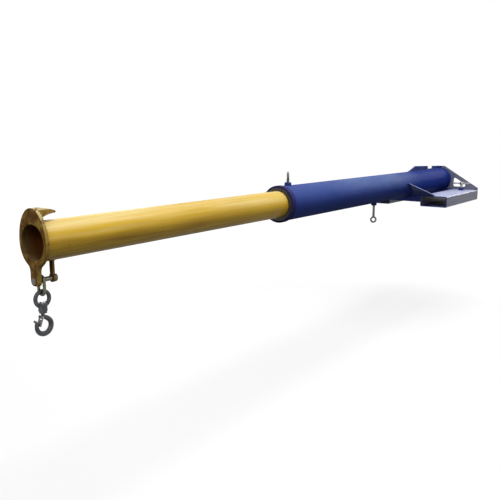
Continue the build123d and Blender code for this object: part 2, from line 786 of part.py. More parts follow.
# Safety latch: a folded lever with two cheeks on the hook's lug and a web across the throat
throat_share = (last_station - 1) / last_station
throat_half_depth = swell(shank_d / 2, hook_bowl_half_depth, hook_beak_half_depth, throat_share)
latch_tip_r = hook_bowl_radius - throat_half_depth - fit_gap - latch_tip_radius
latch_run = latch_tip_r * cos(radians(hook_bowl_end_angle)) - latch_pivot_x
latch_fall = bowl_z + latch_tip_r * sin(radians(hook_bowl_end_angle)) - latch_pivot_z
latch_reach = sqrt(latch_run**2 + latch_fall**2)
latch_plane = Plane(
    origin=(train_x + latch_pivot_x, 0, latch_pivot_z),
    x_dir=(latch_run / latch_reach, 0, latch_fall / latch_reach),
    z_dir=(0, -1, 0),
)
latch_half = latch_inner_width / 2 + latch_cheek
with BuildPart() as hook_latch:
    with BuildSketch(latch_plane):
        Circle(latch_eye_radius)
        with Locations((latch_reach / 2, 0)):
            Rectangle(latch_reach, 2 * latch_tip_radius)
        with Locations((latch_reach, 0)):
            Circle(latch_tip_radius)
    extrude(amount=latch_half, both=True)
    with BuildSketch(latch_plane):
        with Locations((latch_reach, -latch_web)):
            Rectangle(2 * latch_reach, 2 * latch_tip_radius)
        with Locations((latch_web_start - latch_reach, 0)):
            Rectangle(2 * latch_reach, 2 * latch_reach)
    extrude(amount=latch_inner_width / 2, both=True, mode=Mode.SUBTRACT)
    with BuildSketch(latch_plane):
        Circle(latch_pin_d / 2 + running_gap)
    extrude(amount=latch_half, both=True, mode=Mode.SUBTRACT)
keep(hook_latch.part, "hook_latch")

# Latch pin, and the coil spring round it that holds the latch shut
with BuildPart() as latch_pin:
    with BuildSketch(side_on(train_x + latch_pivot_x, latch_pivot_z)):
        Circle(latch_pin_d / 2)
    extrude(amount=latch_half + latch_pin_stand, both=True)
keep(latch_pin.part, "latch_pin")

spring_height = spring_pitch * spring_turns
spring_middle = (latch_lug_width + latch_inner_width) / 4
with BuildPart() as latch_spring:
    with BuildLine():
        coil = Helix(
            pitch=spring_pitch,
            height=spring_height,
            radius=spring_radius,
            center=(train_x + latch_pivot_x, spring_middle - spring_height / 2, latch_pivot_z),
            direction=(0, 1, 0),
        )
    with BuildSketch(Plane(origin=coil @ 0, z_dir=coil % 0)):
        Circle(spring_wire / 2)
    sweep(path=coil)
keep(latch_spring.part, "latch_spring")
spring_points = [coil @ (step / spring_samples) for step in range(spring_samples + 1)]
half_turn = round(spring_samples / spring_turns / 2)
spring_gap = min(
    (spring_points[late] - spring_points[early]).length
    for early in range(spring_samples + 1)
    for late in range(early + half_turn, spring_samples + 1)
)
print(f"latch spring: least gap between turns {spring_gap - spring_wire:.2f} mm")
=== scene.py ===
"""Looks of the forklift jib boom: its finishes, weld beads, drawn tubes, threaded screws and studio.

Metres, +Z up, +X from the truck towards the hook, +Y to the driver's left.
"""
import logging
import math
from abc import ABC, abstractmethod
from collections.abc import Iterable, Sequence
from dataclasses import dataclass
from enum import Enum
from functools import reduce
from typing import Any, Self

import bpy
from mathutils import Matrix, Vector


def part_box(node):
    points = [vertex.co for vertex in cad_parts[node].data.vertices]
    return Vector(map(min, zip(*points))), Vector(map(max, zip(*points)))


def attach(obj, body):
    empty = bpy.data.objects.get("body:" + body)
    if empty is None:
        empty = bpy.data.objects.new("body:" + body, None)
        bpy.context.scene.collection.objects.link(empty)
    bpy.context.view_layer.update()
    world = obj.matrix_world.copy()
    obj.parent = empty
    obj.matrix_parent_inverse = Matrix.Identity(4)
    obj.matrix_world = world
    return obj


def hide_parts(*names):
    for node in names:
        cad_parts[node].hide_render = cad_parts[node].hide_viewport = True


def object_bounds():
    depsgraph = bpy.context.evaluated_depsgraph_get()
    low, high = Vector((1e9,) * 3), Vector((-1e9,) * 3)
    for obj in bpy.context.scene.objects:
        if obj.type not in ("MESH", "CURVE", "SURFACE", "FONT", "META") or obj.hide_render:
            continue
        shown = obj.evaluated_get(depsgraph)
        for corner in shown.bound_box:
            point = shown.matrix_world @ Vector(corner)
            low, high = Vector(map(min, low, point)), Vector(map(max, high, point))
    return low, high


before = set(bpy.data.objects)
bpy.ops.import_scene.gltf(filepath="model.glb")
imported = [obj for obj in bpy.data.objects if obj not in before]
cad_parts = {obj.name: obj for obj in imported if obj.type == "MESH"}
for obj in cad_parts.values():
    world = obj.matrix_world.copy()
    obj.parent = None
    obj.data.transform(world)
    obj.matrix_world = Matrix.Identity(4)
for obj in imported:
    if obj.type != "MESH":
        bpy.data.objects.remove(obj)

CAD_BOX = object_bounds()
LOG = logging.getLogger("jib_boom")
AXIS_HEIGHT = 0.07515
OUTER_RADIUS = 0.08415

Rgb = tuple[float, float, float]
Xyz = tuple[float, float, float]
Span = tuple[float, float]
Node = bpy.types.Node
Socket = bpy.types.NodeSocket
Material = bpy.types.Material
Groups = dict[str, bpy.types.NodeTree]

BLACK: Rgb = (0.0, 0.0, 0.0)
WHITE: Rgb = (1.0, 1.0, 1.0)
MIDTONES: Span = (0.3, 0.7)


class Upright(Enum):
    """Which way a locking screw stands out of the outer tube."""

    ABOVE = 1
    BELOW = -1


class Hand(Enum):
    """Side of the frame, as the driver sees it."""

    LEFT = 1
    RIGHT = -1


class Ray(Enum):
    """Kinds of ray that see the white surround."""

    CAMERA = "Is Camera Ray"
    GLOSSY = "Is Glossy Ray"
    TRANSMISSION = "Is Transmission Ray"


class Measure(Enum):
    """What a mask grows with: where the surface faces, or where on the piece it is."""

    FACING_AHEAD = ("normal", "X")
    FACING_ASIDE = ("normal", "Y")
    FACING_UP = ("normal", "Z")
    PLACE_AHEAD = ("place", "X")
    PLACE_ASIDE = ("place", "Y")


def spaced(values: dict[str, Any]) -> dict[str, Any]:
    """The same values, with a space for each _ in their names."""
    return {key.replace("_", " "): value for key, value in values.items()}


class Graph:
    """Short way to add and wire the nodes of one tree."""

    def __init__(self, tree: bpy.types.NodeTree) -> None:
        """Hold the tree that the nodes go into."""
        self.tree = tree

    def feed(self, socket: Socket, value: Any) -> None:
        """Wire a node or socket into an input, or set the input to a plain value.

        Args:
            socket: The input to fill.
            value: A node (its first output is used), an output socket or a constant.
        """
        if isinstance(value, Node):
            value = value.outputs[0]
        if isinstance(value, Socket):
            self.tree.links.new(value, socket)
        elif socket.type == "RGBA":
            socket.default_value = (*value, 1.0)
        else:
            socket.default_value = value

    def add(self, kind: str, inputs: dict[str | int, Any] | None = None, **settings: Any) -> Node:
        """Add a node.

        Args:
            kind: Blender's name for the node type.
            inputs: Values or sockets for its inputs, by name or place.
            settings: Properties of the node.

        Returns:
            The new node.
        """
        node = self.tree.nodes.new(kind)
        for key, value in settings.items():
            setattr(node, key, value)
        for key, value in (inputs or {}).items():
            self.feed(node.inputs[key], value)
        return node

    def math(self, operation: str, *terms: Any, clamp: bool = False) -> Socket:
        """Value of a Math node over its terms, held between 0 and 1 if clamp is set."""
        inputs = dict(enumerate(terms))
        return self.add("ShaderNodeMath", inputs, operation=operation, use_clamp=clamp).outputs[0]

    def product(self, *terms: Any) -> Socket:
        """Any number of values multiplied together."""
        return reduce(lambda left, right: self.math("MULTIPLY", left, right), terms)

    def greatest(self, *terms: Any) -> Socket:
        """The greatest of any number of values."""
        return reduce(lambda left, right: self.math("MAXIMUM", left, right), terms)

    def vector(self, operation: str, *terms: Any) -> Node:
        """A Vector Math node over its terms."""
        return self.add("ShaderNodeVectorMath", dict(enumerate(terms)), operation=operation)

    def remap(self, value: Any, low: float, high: float, start: float = 0.0, end: float = 1.0) -> Socket:
        """Map low..high of a value to start..end, clamped."""
        return self.add("ShaderNodeMapRange", {0: value, 1: low, 2: high, 3: start, 4: end}).outputs[0]

    def blend(self, share: Any, first: Any, second: Any) -> Socket:
        """Mix two colours by a share of the second."""
        return self.add("ShaderNodeMix", {0: share, 6: first, 7: second}, data_type="RGBA").outputs[2]

    def layer(self, colour: Any, *layers: tuple[Any, Any]) -> Socket:
        """Lay colours over a first one, each given with the mask that it shows through."""
        return reduce(lambda under, over: self.blend(over[0], under, over[1]), layers, colour)

    def noise(self, scale: Any, detail: float, bend: float = 0.0, vector: Any = None) -> Socket:
        """Noise over the piece's own coordinates.

        Args:
            scale: Waves in a metre, for all axes or for each.
            detail: Octaves.
            bend: How far the noise distorts itself.
            vector: Coordinates, or None for the piece's own.

        Returns:
            The noise, about 0.5 in the middle.
        """
        place = self.coords() if vector is None else vector
        if isinstance(scale, tuple):
            place = self.add("ShaderNodeMapping", {"Vector": place, "Scale": scale})
            scale = 1.0
        inputs = {"Vector": place, "Scale": scale, "Detail": detail, "Distortion": bend}
        return self.add("ShaderNodeTexNoise", inputs).outputs[0]

    def patches(self, scale: Any, low: float, high: float, start: float = 0.0, end: float = 1.0,
                detail: float = 5.0, bend: float = 0.0) -> Socket:
        """Noise over the piece, with low..high of it mapped to start..end."""
        return self.remap(self.noise(scale, detail, bend), low, high, start, end)

    def bump(self, height: Any, strength: float, distance: float, normal: Socket) -> Node:
        """A normal that is bumped by a height."""
        inputs = {"Strength": strength, "Distance": distance, "Height": height, "Normal": normal}
        return self.add("ShaderNodeBump", inputs)

    def coords(self) -> Socket:
        """Object coordinates, in metres."""
        return self.add("ShaderNodeTexCoord").outputs["Object"]

    def geometry(self, name: str) -> Socket:
        """One output of the Geometry node."""
        return self.add("ShaderNodeNewGeometry").outputs[name]

    def normal(self, axis: str) -> Socket:
        """The X, Y or Z of the surface's normal."""
        return self.add("ShaderNodeSeparateXYZ", {0: self.geometry("Normal")}).outputs[axis]

    def place(self, axis: str) -> Socket:
        """The X, Y or Z of the point's own place."""
        return self.add("ShaderNodeSeparateXYZ", {0: self.coords()}).outputs[axis]


@dataclass(frozen=True)
class Ramp:
    """A mask that grows over a reach of one measure. A measure to the side counts both ways."""

    measure: Measure
    reach: Span
    values: Span = (0.0, 1.0)

    def mask(self, g: Graph) -> Socket:
        """Build the mask.

        Args:
            g: The tree's nodes.

        Returns:
            The mask's value.
        """
        kind, axis = self.measure.value
        value = g.normal(axis) if kind == "normal" else g.place(axis)
        value = g.math("ABSOLUTE", value) if axis == "Y" else value
        return g.remap(value, *self.reach, *self.values)


@dataclass(frozen=True)
class Blotches:
    """A mask of noise that grows over a reach of it."""

    scale: float | Xyz
    reach: Span
    values: Span = (0.0, 1.0)
    detail: float = 5.0
    bend: float = 0.0

    def mask(self, g: Graph) -> Socket:
        """The mask's value."""
        return g.patches(self.scale, *self.reach, *self.values, detail=self.detail, bend=self.bend)


class EffectKit:
    """Shader groups that several finishes share, each built once."""

    BEVEL_SAMPLES = 4
    SHADE_SAMPLES = 6
    EDGE: Span = (0.985, 0.8)
    CHIPS: Span = (0.38, 0.56)
    SKY_REACH = 0.2
    OPEN_SKY: Span = (0.35, 0.75)
    DUST_AND_HIGHLIGHT_SLOPE = Ramp(Measure.FACING_UP, (0.45, 0.98))
    DUST_PATCHES = (0.3, 0.72, 0.7, 1.0)
    DUST_SPECKS = (0.3, 0.65, 0.6, 1.0)
    SPECKS_PER_PATCH = 22.0
    PEEL_WAVES = 0.12
    WAVE_SHARE = 1.6
    RUB_LINES = Blotches((1.6, 240.0, 240.0), (0.56, 0.68), detail=3.0)
    RUB_PATCHES = Blotches((2.2, 9.0, 9.0), (0.45, 0.65), detail=2.0)
    RUST_LEVEL = 0.72
    RUST_GROWTH = 0.3
    RUST_RIM = 9.0
    RUST_BEND = 0.6
    RUST_GRAIN = Blotches(420.0, MIDTONES)
    RUST_DARK: Rgb = (0.058, 0.018, 0.008)
    RUST_LIGHT: Rgb = (0.2, 0.075, 0.022)
    CORNERS: Span = (0.72, 0.25)
    SMEARS = Blotches(26.0, (0.3, 0.62))
    BORE_FACING: Span = (-0.3, -0.7)
    SCRATCHES = (((0.5, 0.9, 0.3), (0.09, 1.0, 0.9)), ((-0.7, 0.4, 1.1), (1.0, 0.12, 0.08)))
    SCRATCH_RIM: Span = (0.64, 0.7)
    SCRATCH_BEND = 0.3

    def __init__(self) -> None:
        """Build every group."""
        self.groups: Groups = {}
        self._edge_wear()
        self._dust_fall()
        self._paint_skin()
        self._rub_marks()
        self._rust_bloom()
        self._crevice_grime()
        self._bore_side()
        self._scratches()

    def _start(self, name: str, inputs: Sequence[str], **outputs: str) -> tuple[Graph, Any, Any]:
        """Make an empty group.

        Args:
            name: The group's name.
            inputs: Names of its number inputs.
            outputs: Its outputs and their kinds.

        Returns:
            Its graph, what it is given and what it puts out.
        """
        tree = bpy.data.node_groups.new(name, "ShaderNodeTree")
        for key in inputs:
            tree.interface.new_socket(name=key, in_out="INPUT", socket_type="NodeSocketFloat")
        for key, kind in outputs.items():
            tree.interface.new_socket(name=key, in_out="OUTPUT", socket_type=f"NodeSocket{kind}")
        self.groups[name] = tree
        graph = Graph(tree)
        return graph, graph.add("NodeGroupInput").outputs, graph.add("NodeGroupOutput").inputs

    def _edge_wear(self) -> None:
        """Chipped outer edges, and the normal of softly rounded ones."""
        g, given, out = self._start("edge_wear", ["Width", "Amount", "Patch"], Mask="Float", Normal="Vector")
        rounded = g.add("ShaderNodeBevel", {"Radius": given["Width"]}, samples=self.BEVEL_SAMPLES)
        likeness = g.vector("DOT_PRODUCT", rounded, g.geometry("Normal")).outputs["Value"]
        chips = g.patches(given["Patch"], *self.CHIPS, detail=6)
        g.feed(out["Mask"], g.product(g.remap(likeness, *self.EDGE), chips, given["Amount"]))
        g.feed(out["Normal"], rounded)

    def _dust_fall(self) -> None:
        """Dust on what faces up under an open sky, in soft patches with a fine grain; on some paints it is
        also a painted highlight and painted reflection.
        """
        g, given, out = self._start("dust_fall", ["Amount", "Patch"], Mask="Float")
        sky = g.add("ShaderNodeAmbientOcclusion", {"Distance": self.SKY_REACH}, samples=self.SHADE_SAMPLES)
        upward = self.DUST_AND_HIGHLIGHT_SLOPE.mask(g)
        open_sky = g.remap(sky.outputs["AO"], *self.OPEN_SKY)
        patches = g.patches(given["Patch"], *self.DUST_PATCHES)
        specks = g.patches(g.product(given["Patch"], self.SPECKS_PER_PATCH), *self.DUST_SPECKS, detail=3)
        g.feed(out["Mask"], g.product(upward, open_sky, patches, specks, given["Amount"]))

    def _paint_skin(self) -> None:
        """Slow drift of a sprayed coat's tone, and its fine orange peel."""
        inputs = ["Drift Scale", "Peel Scale"]
        g, given, out = self._start("paint_skin", inputs, Drift="Float", Height="Float")
        g.feed(out["Drift"], g.patches(given["Drift Scale"], *MIDTONES, detail=3))
        peel = g.noise(given["Peel Scale"], detail=1)
        waves = g.noise(g.product(given["Peel Scale"], self.PEEL_WAVES), detail=2)
        g.feed(out["Height"], g.math("ADD", peel, g.product(waves, self.WAVE_SHARE)))

    def _rub_marks(self) -> None:
        """Long rubbing marks that run with the boom, in a few broad patches."""
        g, given, out = self._start("rub_marks", ["Amount"], Mask="Float")
        marks = g.product(self.RUB_LINES.mask(g), self.RUB_PATCHES.mask(g), given["Amount"])
        g.feed(out["Mask"], marks)

    def _rust_bloom(self) -> None:
        """Rust spots with ragged rims, and the colour in them."""
        g, given, out = self._start("rust_bloom", ["Amount", "Patch"], Mask="Float", Color="Color")
        spots = g.noise(given["Patch"], detail=8, bend=self.RUST_BEND)
        level = g.math("SUBTRACT", self.RUST_LEVEL, g.product(given["Amount"], self.RUST_GROWTH))
        g.feed(out["Mask"], g.math("MULTIPLY", g.math("SUBTRACT", spots, level), self.RUST_RIM, clamp=True))
        g.feed(out["Color"], g.blend(self.RUST_GRAIN.mask(g), self.RUST_DARK, self.RUST_LIGHT))

    def _crevice_grime(self) -> None:
        """Grime that gathers where pieces meet, with painted shade: darker wherever ambient occlusion finds
        the surround hidden.
        """
        g, given, out = self._start("crevice_grime", ["Reach", "Amount"], Mask="Float")
        # Grime smears, and painted shade: the mask grows where ambient occlusion is strong.
        shade = g.add("ShaderNodeAmbientOcclusion", {"Distance": given["Reach"]}, samples=self.SHADE_SAMPLES)
        corner = g.remap(shade.outputs["AO"], *self.CORNERS)
        g.feed(out["Mask"], g.product(corner, self.SMEARS.mask(g), given["Amount"]))

    def _bore_side(self) -> None:
        """Faces of a tube that look at the boom's axis."""
        g, given, out = self._start("bore_side", ["Axis Height"], Mask="Float")
        height = g.math("SUBTRACT", g.place("Z"), given["Axis Height"])
        outward = g.vector("NORMALIZE", g.add("ShaderNodeCombineXYZ", {"Y": g.place("Y"), "Z": height}))
        facing = g.vector("DOT_PRODUCT", outward, g.geometry("Normal")).outputs["Value"]
        g.feed(out["Mask"], g.remap(facing, *self.BORE_FACING))

    def _scratches(self) -> None:
        """Thin scratches in two slanting directions."""
        g, given, out = self._start("scratches", ["Amount", "Fineness"], Mask="Float")
        masks = []
        for turn, scale in self.SCRATCHES:
            inputs = {"Vector": g.coords(), "Rotation": turn}
            slant = g.add("ShaderNodeVectorRotate", inputs, rotation_type="EULER_XYZ")
            drawn = g.vector("MULTIPLY", g.vector("MULTIPLY", slant, scale), given["Fineness"])
            lines = g.noise(1.0, detail=2, bend=self.SCRATCH_BEND, vector=drawn)
            masks.append(g.remap(lines, *self.SCRATCH_RIM))
        g.feed(out["Mask"], g.product(g.greatest(*masks), given["Amount"]))


class MaterialGraph(Graph):
    """Nodes of one new material, with the shared shader groups at hand."""

    def __init__(self, name: str, groups: Groups) -> None:
        """Make the material.

        Args:
            name: The material's name.
            groups: The shared shader groups.
        """
        self.material = bpy.data.materials.new(name)
        self.material.use_nodes = True
        self.groups = groups
        super().__init__(self.material.node_tree)

    def use(self, name: str, **values: Any) -> Node:
        """Place a shared group and feed its inputs, with _ for a space in their names."""
        return self.add("ShaderNodeGroup", spaced(values), node_tree=self.groups[name])

    def finish(self, **values: Any) -> Material:
        """Feed the material's shader.

        Args:
            values: The shader's inputs, with _ for a space in their names.

        Returns:
            The finished material.
        """
        shader = self.tree.nodes["Principled BSDF"]
        for key, value in spaced(values).items():
            self.feed(shader.inputs[key], value)
        return self.material


@dataclass(frozen=True)
class Tone:
    """A colour that is laid over a coat, as far as all of its masks let it."""

    colour: Rgb
    masks: tuple[Ramp | Blotches, ...]

    def lay(self, g: MaterialGraph, under: Socket) -> Socket:
        """The coat's colour, with this one over it."""
        return g.blend(g.product(*(mask.mask(g) for mask in self.masks)), under, self.colour)


@dataclass(frozen=True)
class BoreLining:
    """A tube's bare rusty bore, with paint that blew into its mouth, paler there also as painted light."""

    colour: Rgb = (0.1, 0.029, 0.005)
    spray_and_painted_light_colour: Rgb = (0.17, 0.12, 0.045)
    spray_and_painted_light_depth: float = 0.045
    spray_and_painted_light: Blotches = Blotches(28.0, (0.3, 0.6))

    def lay(self, g: MaterialGraph, under: Socket) -> Socket:
        """Line the bore.

        Args:
            g: The material's nodes.
            under: The colour outside the bore.

        Returns:
            The colour inside and outside.
        """
        mouth_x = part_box("tip_flange")[1].x
        near = Ramp(Measure.PLACE_AHEAD, (mouth_x - self.spray_and_painted_light_depth, mouth_x))
        # Overspray at the bore's mouth, paler as painted light where the mouth is lit.
        lining = Tone(self.spray_and_painted_light_colour, (near, self.spray_and_painted_light)).lay(g, self.colour)
        return g.blend(g.use("bore_side", Axis_Height=AXIS_HEIGHT), under, lining)


@dataclass(frozen=True)
class PaintFinish:
    """Sprayed paint over steel, worn at its edges, dusty on top with some painted highlight, and grimy in its
    corners with painted shade.
    """

    colour: Rgb
    aged: Rgb
    tones: tuple[Tone | BoreLining, ...] = ()
    under: Rgb = (0.2, 0.195, 0.2)
    dust_and_highlight_colour: Rgb = (0.36, 0.35, 0.36)
    grime_and_shade_colour: Rgb = (0.012, 0.011, 0.012)
    rub_colour: Rgb = (0.11, 0.13, 0.33)
    roughness: float = 0.3
    sheen: Span = (-0.05, 0.07)
    dulling: float = 0.35
    specular: float = 0.0
    coat: float = 0.1
    coat_roughness: float = 0.22
    coat_lost_at: float = 0.7
    drift_scale: float = 3.2
    peel_scale: float = 620.0
    peel_strength: float = 0.12
    peel_depth: float = 0.0005
    wear: float = 0.85
    wear_width: float = 0.0035
    chip_patch: float = 95.0
    rub: float = 0.3
    dust_and_highlight_amount: float = 0.07
    dust_patch: float = 14.0
    grime_and_shade: float = 0.7
    grime_and_shade_reach: float = 0.035
    rust: float = 0.16
    rust_patch: float = 38.0

    def material(self, g: MaterialGraph) -> Material:
        """Build the paint's material.

        Args:
            g: The new material's nodes.

        Returns:
            The material.
        """
        skin = g.use("paint_skin", Drift_Scale=self.drift_scale, Peel_Scale=self.peel_scale)
        edge = g.use("edge_wear", Width=self.wear_width, Amount=self.wear, Patch=self.chip_patch)
        rub = g.use("rub_marks", Amount=self.rub)
        rust = g.use("rust_bloom", Amount=self.rust, Patch=self.rust_patch)
        # Grime in corners, which is also painted shade from ambient occlusion.
        grime_and_shade = g.use("crevice_grime", Reach=self.grime_and_shade_reach, Amount=self.grime_and_shade)
        # Dust on upward faces; on the yellow tube and the sleeve roofs its pale colour is also a painted
        # highlight and painted reflection.
        dust_and_highlight = g.use("dust_fall", Amount=self.dust_and_highlight_amount, Patch=self.dust_patch)
        wiped_dust_and_highlight = g.product(dust_and_highlight, g.math("SUBTRACT", 1.0, rub))
        coat = g.blend(rub, g.blend(skin, self.colour, self.aged), self.rub_colour)
        for tone in self.tones:
            coat = tone.lay(g, coat)
        colour = g.layer(coat, (edge, self.under), (rust, rust.outputs["Color"]),
                         (grime_and_shade, self.grime_and_shade_colour), (wiped_dust_and_highlight, self.dust_and_highlight_colour))
        dull = g.greatest(edge, rust, wiped_dust_and_highlight, grime_and_shade)
        sheen = g.remap(skin, 0.0, 1.0, *(self.roughness + change for change in self.sheen))
        height, normal = skin.outputs["Height"], edge.outputs["Normal"]
        return g.finish(
            Base_Color=colour,
            Roughness=g.math("ADD", sheen, g.product(dull, self.dulling)),
            Coat_Weight=g.remap(dull, 0.0, self.coat_lost_at, self.coat, 0.0),
            Coat_Roughness=self.coat_roughness,
            Specular_IOR_Level=self.specular,
            Normal=g.bump(height, self.peel_strength, self.peel_depth, normal),
        )


@dataclass(frozen=True)
class MetalFinish:
    """Bare or plated metal, with grain, tarnish, rubbed edges, and grime with painted shade in its corners.
    """

    colour: Rgb
    tarnish: Rgb
    bright: Rgb
    grime_and_shade_colour: Rgb = (0.016, 0.014, 0.012)
    roughness: float = 0.35
    sheen: Span = (-0.06, 0.12)
    dulling: float = 0.4
    metal_lost_at: float = 0.8
    grain: Xyz = (60.0, 60.0, 60.0)
    pit_scale: float = 260.0
    pit_depth: float = 0.0003
    pit_strength: float = 0.25
    wear: float = 0.8
    wear_width: float = 0.002
    chip_patch: float = 160.0
    rust: float = 0.1
    rust_patch: float = 70.0
    grime_and_shade: float = 0.6
    grime_and_shade_reach: float = 0.012
    scratch: float = 0.35
    fineness: float = 900.0

    def material(self, g: MaterialGraph) -> Material:
        """Build the metal's material.

        Args:
            g: The new material's nodes.

        Returns:
            The material.
        """
        edge = g.use("edge_wear", Width=self.wear_width, Amount=self.wear, Patch=self.chip_patch)
        rust = g.use("rust_bloom", Amount=self.rust, Patch=self.rust_patch)
        # Grime in corners, which is also painted shade from ambient occlusion.
        grime_and_shade = g.use("crevice_grime", Reach=self.grime_and_shade_reach, Amount=self.grime_and_shade)
        scratch = g.use("scratches", Amount=self.scratch, Fineness=self.fineness)
        clouds = g.patches(self.grain, *MIDTONES)
        pits = g.noise(self.pit_scale, detail=6)
        colour = g.layer(g.blend(clouds, self.colour, self.tarnish), (g.greatest(edge, scratch), self.bright),
                         (rust, rust.outputs["Color"]), (grime_and_shade, self.grime_and_shade_colour))
        dull = g.greatest(rust, grime_and_shade)
        sheen = g.remap(clouds, 0.0, 1.0, *(self.roughness + change for change in self.sheen))
        return g.finish(
            Base_Color=colour,
            Metallic=g.remap(dull, 0.0, self.metal_lost_at, 1.0, 0.0),
            Roughness=g.math("ADD", sheen, g.product(dull, self.dulling)),
            Normal=g.bump(pits, self.pit_strength, self.pit_depth, edge.outputs["Normal"]),
        )


@dataclass(frozen=True)
class NylonFinish:
    """Machined nylon, matt, with turning rings and rubbed lighter at its edges."""

    colour: Rgb
    worn: Rgb
    roughness: Span = (0.42, 0.6)
    wear: float = 0.6
    wear_width: float = 0.0015
    chip_patch: float = 140.0
    scratch: float = 0.3
    fineness: float = 600.0
    cloud_scale: float = 40.0
    cloud_share: float = 0.35
    ring_scale: float = 700.0
    ring_bend: float = 1.5
    ring_strength: float = 0.2
    ring_depth: float = 0.0002

    def material(self, g: MaterialGraph) -> Material:
        """Build the nylon's material.

        Args:
            g: The new material's nodes.

        Returns:
            The material.
        """
        edge = g.use("edge_wear", Width=self.wear_width, Amount=self.wear, Patch=self.chip_patch)
        scratch = g.use("scratches", Amount=self.scratch, Fineness=self.fineness)
        clouds = g.patches(self.cloud_scale, *MIDTONES, detail=4)
        colour = g.blend(g.product(clouds, self.cloud_share), self.colour, self.worn)
        inputs = {"Scale": self.ring_scale, "Vector": g.coords(), "Distortion": self.ring_bend}
        rings = g.add("ShaderNodeTexWave", inputs, wave_type="RINGS", rings_direction="X").outputs["Fac"]
        return g.finish(
            Base_Color=g.blend(g.greatest(edge, scratch), colour, self.worn),
            Roughness=g.remap(clouds, 0.0, 1.0, *self.roughness),
            Normal=g.bump(rings, self.ring_strength, self.ring_depth, edge.outputs["Normal"]),
        )


# Paler blue on the tube's upward faces towards the hook: sun fade, and painted highlight in place of the
# coat's reflection.
SUN_BLEACH_AND_PAINTED_HIGHLIGHT = Tone((0.16, 0.23, 0.4), (
    Ramp(Measure.FACING_UP, (-0.1, 0.75)), Ramp(Measure.PLACE_AHEAD, (2.6, 0.9)),
    Blotches((3.0, 14.0, 14.0), (0.32, 0.68), (0.28, 0.7))))
# A deeper blue on the outer tube towards its rear end.
REAR_DEEP_BLUE = Tone((0.0145, 0.032, 0.2), (Ramp(Measure.PLACE_AHEAD, (0.95, 0.58)),))
# Pale streaks on the yellow tube's upper faces: rub streaks, and painted highlight.
PALE_STREAKS_AND_PAINTED_HIGHLIGHT = Tone((0.72, 0.58, 0.24), (
    Blotches((1.7, 46.0, 46.0), (0.4, 0.66), (0.0, 0.8), bend=0.2), Ramp(Measure.FACING_UP, (0.0, 0.75))))
# Brown stains, with painted shade: the yellow goes darker and more orange on downward faces, most towards the
# tip.
STAINS_AND_PAINTED_SHADE = Tone((0.3, 0.14, 0.015), (
    Blotches((2.3, 60.0, 60.0), (0.4, 0.68), (0.0, 0.9), bend=0.3),
    Ramp(Measure.PLACE_AHEAD, (2.2, 3.3), (0.25, 1.0)), Ramp(Measure.FACING_UP, (0.5, -0.25))))
SHOE_TRACKS = Tone((0.33, 0.27, 0.16), (
    Ramp(Measure.PLACE_ASIDE, (0.011, 0.0066)),
    Blotches((3.0, 320.0, 40.0), (0.42, 0.66), (0.0, 0.5), detail=4.0)))
# Painted light: a paler tan on the tip's upward faces.
PAINTED_LIGHT_TOP = Tone((0.48, 0.38, 0.19), (Ramp(Measure.FACING_UP, (0.2, 0.8)),))
# Dark brown on the tip's forward faces: rust, and painted shade.
RUST_AND_PAINTED_SHADE_FACE = Tone((0.15, 0.075, 0.024), (
    Ramp(Measure.FACING_AHEAD, (0.3, 0.8)), Blotches(34.0, (0.3, 0.58), detail=6.0)))
SCRAPED_WALLS = Tone((0.14, 0.146, 0.188), (
    Ramp(Measure.FACING_ASIDE, (0.5, 0.9)),
    Blotches((5.0, 30.0, 60.0), (0.3, 0.62), (0.25, 0.95), detail=6.0)))
RUSTY_MOUTH = Tone((0.12, 0.075, 0.05), (
    Ramp(Measure.PLACE_AHEAD, (0.16, 0.0)), Blotches(24.0, (0.36, 0.62), detail=7.0)))


